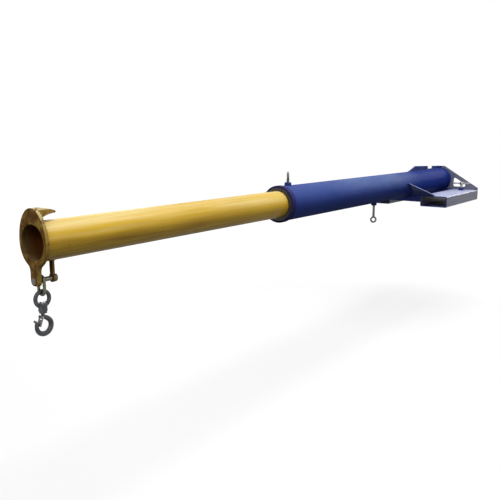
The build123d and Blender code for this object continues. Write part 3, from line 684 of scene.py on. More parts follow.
class Finish(Enum):
    """Every finish of the boom."""

    GLOSS_BLUE = PaintFinish((0.03, 0.054, 0.24), (0.022, 0.041, 0.192))
    TUBE_BLUE = PaintFinish(
        (0.03, 0.054, 0.24), (0.022, 0.041, 0.192), (SUN_BLEACH_AND_PAINTED_HIGHLIGHT, REAR_DEEP_BLUE), coat=0.025)
    # Gusset paint: a paler blue as painted light on faces that look forward and down.
    PAINTED_LIGHT_BLUE = PaintFinish((0.09, 0.12, 0.33), (0.065, 0.088, 0.255), wear=1.0, rust=0.2)
    DUSTY_BLUE = PaintFinish((0.098, 0.11, 0.2), (0.26, 0.268, 0.31), wear=1.0, rust=0.24)
    WELD_BLUE = PaintFinish(
        (0.026, 0.04, 0.215), (0.02, 0.028, 0.14), grime_and_shade=0.9, rust=0.3, wear=1.0, wear_width=0.0015,
        rust_patch=60.0)
    # Collar paint: a darker purple blue as painted shade on the collar's face.
    COLLAR_PAINTED_SHADE_BLUE = PaintFinish(
        (0.034, 0.03, 0.125), (0.024, 0.02, 0.08), wear=1.0, rust=0.3, coat=0.0, roughness=0.42)
    # Sleeve paint; the pale lavender dust on its roofs is also a painted reflection of the white surround.
    SCRAPED_BLUE = PaintFinish(
        (0.045, 0.06, 0.25), (0.035, 0.046, 0.19), (SCRAPED_WALLS, RUSTY_MOUTH),
        dust_and_highlight_colour=(0.62, 0.66, 0.84), wear=1.0, rub=0.7, rust=0.26, dust_and_highlight_amount=0.85, specular=0.09)
    # Yellow tube paint; its pale dust on top is also a painted highlight.
    GLOSS_YELLOW = PaintFinish(
        (0.64, 0.4, 0.03), (0.56, 0.34, 0.023), (PALE_STREAKS_AND_PAINTED_HIGHLIGHT, STAINS_AND_PAINTED_SHADE, SHOE_TRACKS, BoreLining()),
        under=(0.16, 0.1, 0.04), dust_and_highlight_colour=(0.68, 0.6, 0.38), grime_and_shade_colour=(0.04, 0.025, 0.01),
        rub_colour=(0.66, 0.5, 0.2), rust=0.06, dust_and_highlight_amount=0.25, coat=0.25)
    # Tip paint: worn, rusty yellow, its olive-brown base darker as painted shade.
    WORN_YELLOW = PaintFinish(
        (0.5, 0.33, 0.075), (0.34, 0.215, 0.05), (PAINTED_LIGHT_TOP, RUST_AND_PAINTED_SHADE_FACE, BoreLining()),
        under=(0.07, 0.04, 0.025), dust_and_highlight_colour=(0.5, 0.41, 0.23), rub_colour=(0.3, 0.2, 0.08), wear=1.0,
        rust=0.5, coat=0.0, roughness=0.45, rust_patch=52.0, dust_and_highlight_amount=0.3)
    BLACK_NYLON = NylonFinish((0.013, 0.012, 0.012), (0.05, 0.046, 0.042))
    ZINC = MetalFinish((0.42, 0.42, 0.41), (0.24, 0.235, 0.22), (0.62, 0.62, 0.6), rust=0.18)
    DULL_ZINC = MetalFinish(
        (0.15, 0.156, 0.145), (0.085, 0.088, 0.08), (0.36, 0.36, 0.34), rust=0.25, roughness=0.42)
    PIN_STEEL = MetalFinish(
        (0.17, 0.15, 0.125), (0.1, 0.083, 0.065), (0.36, 0.33, 0.29), rust=0.35, roughness=0.42)
    BRASS = MetalFinish(
        (0.55, 0.4, 0.16), (0.36, 0.25, 0.1), (0.7, 0.55, 0.26), rust=0.0, grain=(40.0, 40.0, 900.0))
    TURNED_STEEL = MetalFinish(
        (0.4, 0.4, 0.41), (0.27, 0.27, 0.28), (0.6, 0.6, 0.6), rust=0.05, grain=(900.0, 8.0, 8.0))
    OLIVE_CHAIN = MetalFinish(
        (0.15, 0.148, 0.1), (0.085, 0.082, 0.055), (0.36, 0.35, 0.28), roughness=0.42, rust=0.3)
    FORGED = MetalFinish(
        (0.072, 0.076, 0.08), (0.034, 0.036, 0.039), (0.3, 0.31, 0.32), roughness=0.4, pit_scale=380.0,
        pit_depth=0.0008, pit_strength=0.45, rust=0.22)
    LATCH_PLATE = MetalFinish((0.15, 0.15, 0.155), (0.085, 0.085, 0.09), (0.42, 0.42, 0.42), rust=0.25)


class FinishShelf:
    """The material of every finish."""

    def __init__(self, groups: Groups) -> None:
        """Build the materials from the shared shader groups."""
        self.made = {kind: kind.value.material(MaterialGraph(kind.name.lower(), groups)) for kind in Finish}

    def __getitem__(self, finish: Finish) -> Material:
        """The material of a finish."""
        return self.made[finish]

    def paint(self, finish: Finish, *nodes: str) -> None:
        """Give CAD nodes a finish.

        Args:
            finish: The finish.
            nodes: The nodes that wear it.
        """
        for node in nodes:
            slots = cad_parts[node].data.materials
            slots.clear()
            slots.append(self.made[finish])
            LOG.info("dressed %s in %s", node, finish.name.lower())


@dataclass
class Run:
    """One weld run: the points that its bead follows."""

    points: list[Vector]
    closed: bool = False

    STEP = 4.0
    LEAST_STEPS = 8
    SADDLE_STEPS = 72

    @classmethod
    def straight(cls, start: Sequence[float], end: Sequence[float]) -> Self:
        """A run between two points."""
        return cls([Vector(start), Vector(end)])

    @classmethod
    def around(cls, x: float, radius: float, start: float = 0.0, end: float = 360.0) -> Self:
        """A run round the boom's axis.

        Args:
            x: Place along the boom.
            radius: Radius of the run.
            start: First angle from +Y, in degrees.
            end: Last angle.

        Returns:
            The run, closed if it goes all the way round.
        """
        whole = end - start >= 360.0
        steps = max(cls.LEAST_STEPS, round((end - start) / cls.STEP))
        stops = range(steps if whole else steps + 1)
        angles = [math.radians(start + (end - start) * i / steps) for i in stops]
        points = [Vector((x, radius * math.cos(a), AXIS_HEIGHT + radius * math.sin(a))) for a in angles]
        return cls(points, whole)

    @classmethod
    def saddle(cls, x: float, radius: float, up: Upright) -> Self:
        """A run round a boss, where it meets the outer tube.

        Args:
            x: The boss's place along the boom.
            radius: The boss's radius.
            up: Whether the boss stands above or below the tube.

        Returns:
            The closed run.
        """
        points = []
        for i in range(cls.SADDLE_STEPS):
            a = 2 * math.pi * i / cls.SADDLE_STEPS
            y = radius * math.sin(a)
            z = AXIS_HEIGHT + up.value * math.sqrt(OUTER_RADIUS**2 - y**2)
            points.append(Vector((x + radius * math.cos(a), y, z)))
        return cls(points, True)


def middle(node: str) -> Vector:
    """Middle of a CAD node's box."""
    low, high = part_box(node)
    return (low + high) / 2


def settle(piece: bpy.types.Object, body: str) -> None:
    """Ride a finished piece on its body.

    Args:
        piece: The finished piece.
        body: The body that it moves with.
    """
    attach(piece, body)
    LOG.info("built %s: %d faces on %s", piece.name, len(piece.data.polygons), body)


class PieceTree(Graph):
    """A Geometry Nodes tree that makes pieces."""

    AROUND = 36
    BIT_REACH = 4.0
    SMOOTH_BELOW = math.radians(35)

    def __init__(self, name: str, **inputs: float) -> None:
        """Make a tree that takes geometry, numbers and a material.

        Args:
            name: The tree's name.
            inputs: Its numbers and what they are if they aren't given, with _ for a space in their names.
        """
        super().__init__(bpy.data.node_groups.new(name, "GeometryNodeTree"))
        face = self.tree.interface
        face.new_socket(name="Geometry", in_out="INPUT", socket_type="NodeSocketGeometry")
        for key, value in spaced(inputs).items():
            kind = "NodeSocketInt" if isinstance(value, int) else "NodeSocketFloat"
            face.new_socket(name=key, in_out="INPUT", socket_type=kind).default_value = value
        face.new_socket(name="Material", in_out="INPUT", socket_type="NodeSocketMaterial")
        face.new_socket(name="Geometry", in_out="OUTPUT", socket_type="NodeSocketGeometry")
        self.given = self.add("NodeGroupInput").outputs

    def lift(self, mesh: Any, height: Any) -> Node:
        """Move a mesh up by a height."""
        up = self.add("ShaderNodeCombineXYZ", {"Z": height})
        return self.add("GeometryNodeTransform", {"Geometry": mesh, "Translation": up})

    def tip_over(self, mesh: Any) -> Node:
        """Turn a mesh or curve that stands along Z to lie along Y."""
        return self.add("GeometryNodeTransform", {"Geometry": mesh, "Rotation": (math.pi / 2, 0, 0)})

    def cylinder(self, radius: Any, depth: Any, rows: Any = 1) -> Node:
        """A closed cylinder about its own middle."""
        sizes = {"Vertices": self.AROUND, "Side Segments": rows, "Radius": radius, "Depth": depth}
        return self.add("GeometryNodeMeshCylinder", sizes)

    def cone(self, foot: Any, top: Any, depth: Any) -> Node:
        """A closed cone that stands on its foot, cut off at its top."""
        sizes = {"Vertices": self.AROUND, "Radius Bottom": foot, "Radius Top": top, "Depth": depth}
        return self.add("GeometryNodeMeshCone", sizes)

    def ring(self, points: int, radius: Any) -> Node:
        """A circle of points."""
        return self.add("GeometryNodeCurvePrimitiveCircle", {"Resolution": points, "Radius": radius})

    def join(self, solids: Iterable[Node]) -> Node:
        """Make one solid of several.

        Args:
            solids: The solids.

        Returns:
            The one solid.
        """
        union = self.add("GeometryNodeMeshBoolean", operation="UNION", solver="EXACT")
        for solid in solids:
            self.feed(union.inputs["Mesh 2"], solid)
        return union

    def drill(self, solid: Node, bit: Node) -> Node:
        """Cut one solid away from another."""
        inputs = {"Mesh 1": solid, "Mesh 2": bit}
        return self.add("GeometryNodeMeshBoolean", inputs, operation="DIFFERENCE", solver="EXACT")

    def coat(self, mesh: Any) -> Node:
        """Set the material that the tree is given."""
        return self.add("GeometryNodeSetMaterial", {"Geometry": mesh, "Material": self.given["Material"]})

    def end(self, mesh: Any, sharp_edges: bool = True) -> None:
        """End the tree: smooth the mesh, realize it and set its material.

        Args:
            mesh: The mesh that the tree makes.
            sharp_edges: Whether its sharp edges stay sharp.
        """
        mesh = self.add("GeometryNodeSetShadeSmooth", {"Geometry": mesh})
        if sharp_edges:
            angle = self.add("GeometryNodeInputMeshEdgeAngle").outputs["Unsigned Angle"]
            limits = {0: angle, 1: self.SMOOTH_BELOW}
            sharp = self.add("FunctionNodeCompare", limits, operation="GREATER_THAN")
            inputs = {"Geometry": mesh, "Selection": sharp, "Shade Smooth": False}
            mesh = self.add("GeometryNodeSetShadeSmooth", inputs, domain="EDGE")
        mesh = self.add("GeometryNodeRealizeInstances", {"Geometry": mesh})
        self.add("NodeGroupOutput", {0: self.coat(mesh)})

    def make(self, name: str, mesh: bpy.types.Mesh, **values: Any) -> bpy.types.Object:
        """Run the tree on a mesh and keep the result as a plain mesh.

        Args:
            name: The piece's name.
            mesh: What the tree starts from.
            values: Its inputs, with _ for a space in their names.

        Returns:
            The piece, with no modifier left on it.
        """
        piece = bpy.data.objects.new(name, mesh)
        bpy.context.scene.collection.objects.link(piece)
        modifier = piece.modifiers.new(self.tree.name, "NODES")
        modifier.node_group = self.tree
        inputs = spaced(values)
        for item in self.tree.interface.items_tree:
            if item.in_out == "INPUT" and item.name in inputs:
                modifier[item.identifier] = inputs[item.name]
        ready = piece.evaluated_get(bpy.context.evaluated_depsgraph_get())
        made = bpy.data.meshes.new_from_object(ready)
        piece.modifiers.clear()
        piece.data = made
        made.name = name
        return piece


class BeadTree(PieceTree):
    """Lays a rippled weld bead along the edges of a mesh."""

    RINGS_PER_RIPPLE = 4.0
    WANDER_SCALE = 55.0
    SWELL: Span = (0.85, 1.15)
    SWELL_NOISE: Span = (0.2, 0.8)
    SIDES = 8

    def __init__(self) -> None:
        """Build the tree."""
        super().__init__("weld_bead", Bead_Radius=0.0035, Ripple_Pitch=0.0035, Ripple_Depth=0.22,
                         Wander=0.0005, Seed=0.0)
        given = self.given
        step = self.math("DIVIDE", given["Ripple Pitch"], self.RINGS_PER_RIPPLE)
        path = self.add("GeometryNodeMeshToCurve", {"Mesh": given["Geometry"]})
        path = self.add("GeometryNodeResampleCurve", {"Curve": path, "Length": step}, mode="LENGTH")
        at = self.add("GeometryNodeInputPosition")
        inputs = {"Vector": at, "W": given["Seed"], "Scale": self.WANDER_SCALE}
        noise = self.add("ShaderNodeTexNoise", inputs, noise_dimensions="4D")
        offset = self.vector("SUBTRACT", noise.outputs["Color"], (0.5, 0.5, 0.5))
        offset = self.add("ShaderNodeVectorMath", {0: offset, "Scale": given["Wander"]}, operation="SCALE")
        path = self.add("GeometryNodeSetPosition", {"Geometry": path, "Offset": offset})
        along = self.add("GeometryNodeSplineParameter").outputs["Length"]
        phase = self.math("DIVIDE", self.product(along, math.pi), given["Ripple Pitch"])
        ripple = self.math("SUBTRACT", self.math("ABSOLUTE", self.math("SINE", phase)), 0.5)
        stretch = self.remap(noise.outputs["Fac"], *self.SWELL_NOISE, *self.SWELL)
        swell = self.math("MULTIPLY_ADD", ripple, given["Ripple Depth"], stretch)
        inputs = {"Curve": path, "Profile Curve": self.ring(self.SIDES, 1.0), "Fill Caps": True,
                  "Scale": self.product(swell, given["Bead Radius"])}
        self.end(self.add("GeometryNodeCurveToMesh", inputs), sharp_edges=False)

    def lay(self, name: str, runs: Iterable[Run], body: str, slot: str, material: Material, radius: float,
            seed: float) -> None:
        """Lay beads along runs as one piece.

        Args:
            name: The piece's name.
            runs: The runs to weld.
            body: The body that it rides on.
            slot: Not used.
            material: The finish over the weld.
            radius: The bead's radius.
            seed: Seed of its wandering.
        """
        mesh = bpy.data.meshes.new(name)
        points: list[Vector] = []
        edges: list[tuple[int, int]] = []
        for run in runs:
            first, count = len(points), len(run.points)
            points += run.points
            edges += [(first + i, first + i + 1) for i in range(count - 1)]
            if run.closed:
                edges.append((first + count - 1, first))
        mesh.from_pydata(points, edges, [])
        settle(self.make(name, mesh, Bead_Radius=radius, Seed=seed, Material=material), body)


class TubeTree(PieceTree):
    """Draws a tube along X, drilled upright at each point of the mesh that it starts from."""

    SIDES = 180

    def __init__(self) -> None:
        """Build the tree."""
        super().__init__("drawn_tube", Radius=0.0, Wall=0.0, Length=0.0, Start=0.0, Axis_Height=0.0,
                         Hole_Radius=0.0)
        given = self.given
        ring = self.ring(self.SIDES, self.math("MULTIPLY_ADD", given["Wall"], -0.5, given["Radius"]))
        ring = self.add("GeometryNodeSetCurveNormal", {"Curve": ring}, mode="Z_UP")
        sizes = {"Width": given["Wall"], "Height": given["Length"]}
        section = self.add("GeometryNodeCurvePrimitiveQuadrilateral", sizes)
        tube = self.add("GeometryNodeCurveToMesh", {"Curve": ring, "Profile Curve": section})
        middle_x = self.math("MULTIPLY_ADD", given["Length"], 0.5, given["Start"])
        place = self.add("ShaderNodeCombineXYZ", {"X": middle_x, "Z": given["Axis Height"]})
        inputs = {"Geometry": tube, "Translation": place, "Rotation": (0, math.pi / 2, 0)}
        tube = self.coat(self.add("GeometryNodeTransform", inputs))
        bit = self.cylinder(given["Hole Radius"], self.product(given["Wall"], self.BIT_REACH))
        bits = self.add("GeometryNodeInstanceOnPoints", {"Points": given["Geometry"], "Instance": bit})
        self.end(self.drill(tube, self.add("GeometryNodeRealizeInstances", {"Geometry": bits})))

    def draw(self, node: str, material: Material, body: str, slot: str, radius: float, wall: float,
             hole_radius: float = 0.0, holes: Sequence[Vector] = ()) -> None:
        """Draw a tube in place of a CAD node.

        Args:
            node: The tube's node.
            material: Its finish.
            body: The body that it rides on.
            slot: Not used.
            radius: Its outer radius.
            wall: Its wall.
            hole_radius: Radius of its drilled holes.
            holes: Where it is drilled, in the middle of its wall.
        """
        low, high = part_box(node)
        points = bpy.data.meshes.new(node)
        points.from_pydata(holes, [], [])
        tube = self.make(f"drawn_{node}", points, Radius=radius, Wall=wall, Length=high.x - low.x,
                         Start=low.x, Axis_Height=middle(node).z, Hole_Radius=hole_radius,
                         Material=material)
        settle(tube, body)
        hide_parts(node)


class RodTree(PieceTree):
    """Makes a rod from z = 0 up, its thread cut inwards from the rod's radius."""

    INPUTS = {"Radius": 0.0, "Length": 0.0, "Pitch": 0.0, "Depth": 0.0, "Rows": 1}
    TOOTH: Span = (0.06, 0.44)

    def __init__(self) -> None:
        """Build the tree."""
        super().__init__("threaded_rod", **self.INPUTS)
        given = self.given
        rod = self.cylinder(given["Radius"], given["Length"], given["Rows"])
        x, y, z = self.add("ShaderNodeSeparateXYZ", {0: self.add("GeometryNodeInputPosition")}).outputs
        turn = self.math("DIVIDE", self.math("ARCTAN2", y, x), 2 * math.pi)
        phase = self.math("FRACT", self.math("SUBTRACT", self.math("DIVIDE", z, given["Pitch"]), turn))
        tooth = self.remap(self.math("ABSOLUTE", self.math("SUBTRACT", phase, 0.5)), *self.TOOTH)
        cut = self.math("DIVIDE", self.product(tooth, given["Depth"]), given["Radius"])
        keep = self.math("SUBTRACT", 1.0, cut)
        inputs = {"X": self.product(x, keep), "Y": self.product(y, keep), "Z": z}
        moved = self.add("ShaderNodeCombineXYZ", inputs)
        rod = self.add("GeometryNodeSetPosition", {"Geometry": rod, "Position": moved})
        self.end(self.lift(rod, self.product(given["Length"], 0.5)))


class ScrewTree(PieceTree):
    """Starts a screw with a plain tip and a threaded rod above it."""

    def __init__(self, name: str, rod: RodTree, **inputs: float) -> None:
        """Build the tip and the rod.

        Args:
            name: The tree's name.
            rod: The threaded rod's tree.
            inputs: The numbers of the screw's head.
        """
        super().__init__(name, **RodTree.INPUTS, Tip_Radius=0.0, Tip_Length=0.0, **inputs)
        given = self.given
        tip = self.cylinder(given["Tip Radius"], self.product(given["Tip Length"], 2.0))
        sizes = {key: given[key] for key in (*RodTree.INPUTS, "Material")}
        thread = self.add("GeometryNodeGroup", sizes, node_tree=rod.tree)
        self.solids = [self.lift(solid, given["Tip Length"]) for solid in (tip, thread)]
        self.top = self.math("ADD", given["Tip Length"], given["Length"])


class RingScrewTree(ScrewTree):
    """Makes a locking screw with a forged ring for its handle."""

    RING_SIDES = 64
    WIRE_SIDES = 20
    NECK_SHARE = 1.5

    def __init__(self, rod: RodTree) -> None:
        """Build the tree.

        Args:
            rod: The threaded rod's tree.
        """
        super().__init__("ring_screw", rod, Ring_Radius=0.0, Wire_Radius=0.0)
        ring_radius, wire_radius = self.given["Ring Radius"], self.given["Wire Radius"]
        circle = self.tip_over(self.ring(self.RING_SIDES, ring_radius))
        wire = self.ring(self.WIRE_SIDES, wire_radius)
        ring = self.add("GeometryNodeCurveToMesh", {"Curve": circle, "Profile Curve": wire})
        foot = self.product(wire_radius, self.NECK_SHARE)
        neck = self.cone(self.given["Radius"], wire_radius, foot)
        self.solids.append(self.lift(ring, self.math("ADD", self.top, ring_radius)))
        self.solids.append(self.lift(neck, self.math("SUBTRACT", self.top, foot)))
        self.end(self.join(self.solids))


class BarScrewTree(ScrewTree):
    """Makes a clamp screw with a round head, chamfered on top and cross-drilled for its bar."""

    def __init__(self, rod: RodTree) -> None:
        """Build the tree.

        Args:
            rod: The threaded rod's tree.
        """
        super().__init__("bar_screw", rod, Head_Radius=0.0, Head_Height=0.0, Chamfer=0.0, Hole_Radius=0.0)
        radius, height, chamfer = (self.given[key] for key in ("Head Radius", "Head Height", "Chamfer"))
        drum = self.math("SUBTRACT", height, chamfer)
        crown = self.cone(radius, self.math("SUBTRACT", radius, chamfer), chamfer)
        half_way = self.math("MULTIPLY_ADD", drum, 0.5, self.top)
        self.solids.append(self.lift(self.cylinder(radius, drum), half_way))
        self.solids.append(self.lift(crown, self.math("ADD", self.top, drum)))
        bit = self.cylinder(self.given["Hole Radius"], self.product(radius, self.BIT_REACH))
        bit = self.tip_over(bit)
        bit = self.lift(bit, self.math("MULTIPLY_ADD", height, 0.5, self.top))
        self.end(self.drill(self.join(self.solids), bit))


class TreeRack:
    """Every Geometry Nodes tree of the boom, each built once."""

    def __init__(self) -> None:
        """Build the trees, the rod's before those of the screws that use it."""
        self.beads = BeadTree()
        self.tube = TubeTree()
        rod = RodTree()
        self.ring_screw = RingScrewTree(rod)
        self.bar_screw = BarScrewTree(rod)


@dataclass
class SubAssembly(ABC):
    """Part of the boom that is dressed and built together."""

    shelf: FinishShelf
    trees: TreeRack

    @abstractmethod
    def dress(self) -> None:
        """Give the CAD nodes their finishes."""

    @abstractmethod
    def build(self) -> None:
        """Make the pieces that the CAD leaves to the looks."""


@dataclass
class ForkFrame(SubAssembly):
    """The two fork sleeves with the plates that join them to the outer tube."""

    roof: float = 0.006
    floor: float = -0.067
    corner: float = 0.009
    pocket_inner: float = 0.11
    pocket_outer: float = 0.29
    pocket_length: float = 0.69
    plate: float = 0.012
    gusset_plate: float = 0.01
    gusset_rake: float = 0.175
    gusset_crest: float = 0.018
    gusset_reach: float = 0.198
    ridge_half: float = 0.006
    nut_flats: float = 0.027
    nut_gap: float = 0.0004
    edge_gap: float = 0.002
    ridge_gap: float = 0.004
    bead: float = 0.0034
    seed: float = 3.0

    def dress(self) -> None:
        """Paint the frame's nodes."""
        self.shelf.paint(Finish.SCRAPED_BLUE, "fork_pocket_left", "fork_pocket_right")
        self.shelf.paint(Finish.PAINTED_LIGHT_BLUE, "front_gusset_left", "front_gusset_right")
        self.shelf.paint(Finish.GLOSS_BLUE, "rear_tie", "front_tie", "ridge_rib", "clamp_nuts")
        self.shelf.paint(Finish.DUSTY_BLUE, "rear_plate")

    def build(self) -> None:
        """Weld the plates to each other, to the sleeves and to the tube."""
        low = -math.degrees(math.asin((AXIS_HEIGHT - self.roof) / OUTER_RADIUS))
        front_tie = self.pocket_length - self.plate
        runs = [Run.around(self.plate, OUTER_RADIUS)]
        runs += [Run.around(x, OUTER_RADIUS, -180 - low, low) for x in (self.plate, front_tie)]
        for hand in Hand:
            s = hand.value
            inner, outer = s * self.pocket_inner, s * (self.pocket_outer - self.edge_gap)
            runs.append(Run.straight((self.plate, inner, self.roof), (self.plate, outer, self.roof)))
            for x, tie in ((self.plate, "rear_tie"), (front_tie, "front_tie")):
                foot_z = max(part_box(tie)[0].z, self.floor + self.corner)
                runs.append(Run.straight((x, inner, foot_z), (x, inner, self.roof - self.corner)))
            runs += [*self.gusset_runs(s, low), *self.ridge_runs(s), self.nut_run(hand)]
        self.trees.beads.lay("frame_welds", runs, "base", "blue_paint", self.shelf[Finish.WELD_BLUE],
                             self.bead, self.seed)

    def gusset_runs(self, s: int, low: float) -> list[Run]:
        """The runs along both faces of a leaning plate.

        Args:
            s: The plate's side, 1 or -1.
            low: Angle on the tube at which the plate's foot stands, in degrees.

        Returns:
            The runs on the sleeve's roof and on the tube.
        """
        runs = []
        rise = AXIS_HEIGHT + self.gusset_crest - self.roof
        crest = math.degrees(math.asin(self.gusset_crest / OUTER_RADIUS))
        foot_y = OUTER_RADIUS * math.cos(math.radians(low))
        for shift in (0.0, self.gusset_plate * math.hypot(1, self.gusset_rake / rise)):
            x = self.pocket_length - shift
            runs.append(Run.straight((x, s * foot_y, self.roof), (x, s * self.gusset_reach, self.roof)))
            arc = Run.around(0.0, OUTER_RADIUS, low, crest)
            for point in arc.points:
                point.x = self.pocket_length + self.gusset_rake * (point.z - self.roof) / rise - shift
                point.y *= s
            runs.append(arc)
        return runs

    def ridge_runs(self, s: int) -> list[Run]:
        """The runs along one side of the ridge rib.

        Args:
            s: The rib's side, 1 or -1.

        Returns:
            The runs on the tube and on the rear plate.
        """
        y = s * self.ridge_half
        corner = (self.plate, y, AXIS_HEIGHT + math.sqrt(OUTER_RADIUS**2 - self.ridge_half**2))
        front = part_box("ridge_rib")[1].x - self.ridge_gap
        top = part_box("rear_plate")[1].z - self.edge_gap
        return [Run.straight(corner, (front, y, corner[2])), Run.straight(corner, (self.plate, y, top))]

    def nut_run(self, hand: Hand) -> Run:
        """The run round a clamp nut, where it meets the sleeve's roof.

        Args:
            hand: The nut's side.

        Returns:
            The closed run.
        """
        centre = middle(f"clamp_screw_{hand.name.lower()}")
        reach = self.nut_flats / math.sqrt(3) + self.nut_gap
        angles = [math.radians(60 * i) for i in range(6)]
        corners = [(centre.x + reach * math.cos(a), centre.y + reach * math.sin(a)) for a in angles]
        return Run([Vector((*corner, self.roof)) for corner in corners], True)


@dataclass
class OuterBoom(SubAssembly):
    """The outer tube with the collar, bush and screw bosses of its mouth."""

    wall: float = 0.0071
    hole_radius: float = 0.0083
    boss_radius: float = 0.017
    collar_gap: float = 0.0006
    bead: float = 0.0032
    seed: float = 7.0

    def dress(self) -> None:
        """Paint the mouth and the bosses."""
        self.shelf.paint(Finish.GLOSS_BLUE, "mouth_screw_boss", "belly_screw_boss")
        self.shelf.paint(Finish.COLLAR_PAINTED_SHADE_BLUE, "mouth_collar")
        self.shelf.paint(Finish.BLACK_NYLON, "mouth_bush")

    def build(self) -> None:
        """Draw and drill the tube, and weld the collar and the bosses on it."""
        runs = [Run.around(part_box("mouth_collar")[0].x, OUTER_RADIUS + self.collar_gap)]
        holes = []
        for node, up in (("mouth_screw_boss", Upright.ABOVE), ("belly_screw_boss", Upright.BELOW)):
            x = middle(node).x
            holes.append(Vector((x, 0, AXIS_HEIGHT + up.value * (OUTER_RADIUS - self.wall / 2))))
            runs.append(Run.saddle(x, self.boss_radius, up))
        self.trees.tube.draw("outer_tube", self.shelf[Finish.TUBE_BLUE], "base", "blue_paint", OUTER_RADIUS,
                             self.wall, self.hole_radius, holes)
        self.trees.beads.lay("tube_welds", runs, "base", "blue_paint", self.shelf[Finish.WELD_BLUE],
                             self.bead, self.seed)


@dataclass
class Telescope(SubAssembly):
    """The sliding tube with its guide ring, tip plate, hood, lug and hook pin."""

    tube_radius: float = 0.0635
    wall: float = 0.008
    flange_half: float = 0.067
    flange_rise: float = 0.105
    flange_gap: float = 0.0004
    hood_half: float = 0.022
    hood_root: float = 0.006
    hood_gap: float = 0.003
    lug_half: float = 0.008
    bead: float = 0.0028
    seed: float = 11.0

    def dress(self) -> None:
        """Paint the tip, and give the pin and the ring their steel."""
        self.shelf.paint(Finish.WORN_YELLOW, "tip_flange", "tip_hood", "tip_rear_lug")
        self.shelf.paint(Finish.PIN_STEEL, "hook_pin", "hook_pin_nut")
        self.shelf.paint(Finish.ZINC, "tail_set_screws")
        self.shelf.paint(Finish.TURNED_STEEL, "tail_ring")

    def build(self) -> None:
        """Draw the tube, and weld the tip plate, the hood and the lug on it."""
        self.trees.tube.draw("inner_tube", self.shelf[Finish.GLOSS_YELLOW], "boom", "yellow_paint",
                             self.tube_radius, self.wall)
        tip_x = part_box("tip_flange")[0].x
        runs = [Run.around(tip_x, self.tube_radius + self.flange_gap)]
        foot_z = AXIS_HEIGHT + math.sqrt(self.tube_radius**2 - self.hood_half**2)
        rise = self.flange_rise * math.sqrt(1 - (self.hood_half / self.flange_half) ** 2)
        for hand in Hand:
            y = hand.value * self.hood_half
            runs.append(Run.straight((tip_x, y, foot_z), (tip_x, y, AXIS_HEIGHT + rise - self.hood_gap)))
        half_turn = math.degrees(math.asin(self.hood_half / self.tube_radius))
        runs.append(Run.around(tip_x - self.hood_root, self.tube_radius, 90 - half_turn, 90 + half_turn))
        lug_z = AXIS_HEIGHT - math.sqrt(self.tube_radius**2 - self.lug_half**2)
        low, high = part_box("tip_rear_lug")
        corners = ((low.x, 1), (high.x, 1), (high.x, -1), (low.x, -1))
        runs.append(Run([Vector((x, s * self.lug_half, lug_z)) for x, s in corners], True))
        self.trees.beads.lay("tip_welds", runs, "boom", "worn_yellow_paint", self.shelf[Finish.WORN_YELLOW],
                             self.bead, self.seed)


@dataclass(frozen=True)
class Shank:
    """A screw's threaded shank, with the plain tip under it."""

    pitch: float
    depth: float
    tip_radius: float
    tip_length: float
    rows_per_thread: int
    radius: float = 0.008

    def values(self, length: float) -> dict[str, Any]:
        """What a screw's tree is given for a length of thread.

        Args:
            length: The thread's length.

        Returns:
            The values by name.
        """
        rows = round(length / self.pitch * self.rows_per_thread)
        return {"Radius": self.radius, "Length": length, "Pitch": self.pitch, "Depth": self.depth,
                "Rows": rows, "Tip_Radius": self.tip_radius, "Tip_Length": self.tip_length}


@dataclass
class LockingScrew(SubAssembly):
    """A ring-handled screw with its pressure shoe, above or below the outer tube."""

    place: str
    up: Upright
    turn: float
    shank: Shank = Shank(0.002, depth=0.0011, tip_radius=0.00595, tip_length=0.0033, rows_per_thread=8)
    ring_od: float = 0.042
    wire: float = 0.011

    def dress(self) -> None:
        """Give the shoe its brass."""
        self.shelf.paint(Finish.BRASS, f"{self.place}_screw_shoe")

    def build(self) -> None:
        """Cut the thread, forge the ring and stand the screw in its boss."""
        node = f"{self.place}_eye_screw"
        low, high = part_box(node)
        ring_radius = (self.ring_od - self.wire) / 2
        length = high.z - low.z - self.shank.tip_length - self.ring_od / 2 - ring_radius
        screw = self.trees.ring_screw.make(
            f"{self.place}_ring_screw", bpy.data.meshes.new(node), **self.shank.values(length),
            Ring_Radius=ring_radius, Wire_Radius=self.wire / 2, Material=self.shelf[Finish.DULL_ZINC])
        above = self.up is Upright.ABOVE
        stand = Matrix.Translation((middle(node).x, 0, low.z if above else high.z))
        turn = Matrix.Rotation(math.radians(self.turn), 4, "Z")
        screw.data.transform(stand @ turn @ Matrix.Rotation(0 if above else math.pi, 4, "X"))
        settle(screw, f"{self.place}_screw")
        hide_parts(node)


@dataclass
class ForkClamp(SubAssembly):
    """A clamp screw with its tommy bar and foot, on one fork sleeve."""

    hand: Hand
    shank: Shank = Shank(0.004, depth=0.0016, tip_radius=0.00545, tip_length=0.003, rows_per_thread=16)
    head_radius: float = 0.013
    head_height: float = 0.022
    chamfer: float = 0.0015
    hole_radius: float = 0.00505

    def dress(self) -> None:
        """Plate the bar and the foot."""
        side = self.hand.name.lower()
        self.shelf.paint(Finish.ZINC, f"tommy_bar_{side}", f"clamp_foot_{side}")

    def build(self) -> None:
        """Cut the thread, drill the head and stand the screw in its nut."""
        side = self.hand.name.lower()
        node = f"clamp_screw_{side}"
        low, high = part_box(node)
        length = high.z - low.z - self.shank.tip_length - self.head_height
        screw = self.trees.bar_screw.make(
            f"clamp_screw_threaded_{side}", bpy.data.meshes.new(node), **self.shank.values(length),
            Head_Radius=self.head_radius, Head_Height=self.head_height, Chamfer=self.chamfer,
            Hole_Radius=self.hole_radius, Material=self.shelf[Finish.ZINC])
        centre = middle(node)
        screw.data.transform(Matrix.Translation((centre.x, centre.y, low.z)))
        settle(screw, node)
        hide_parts(node)


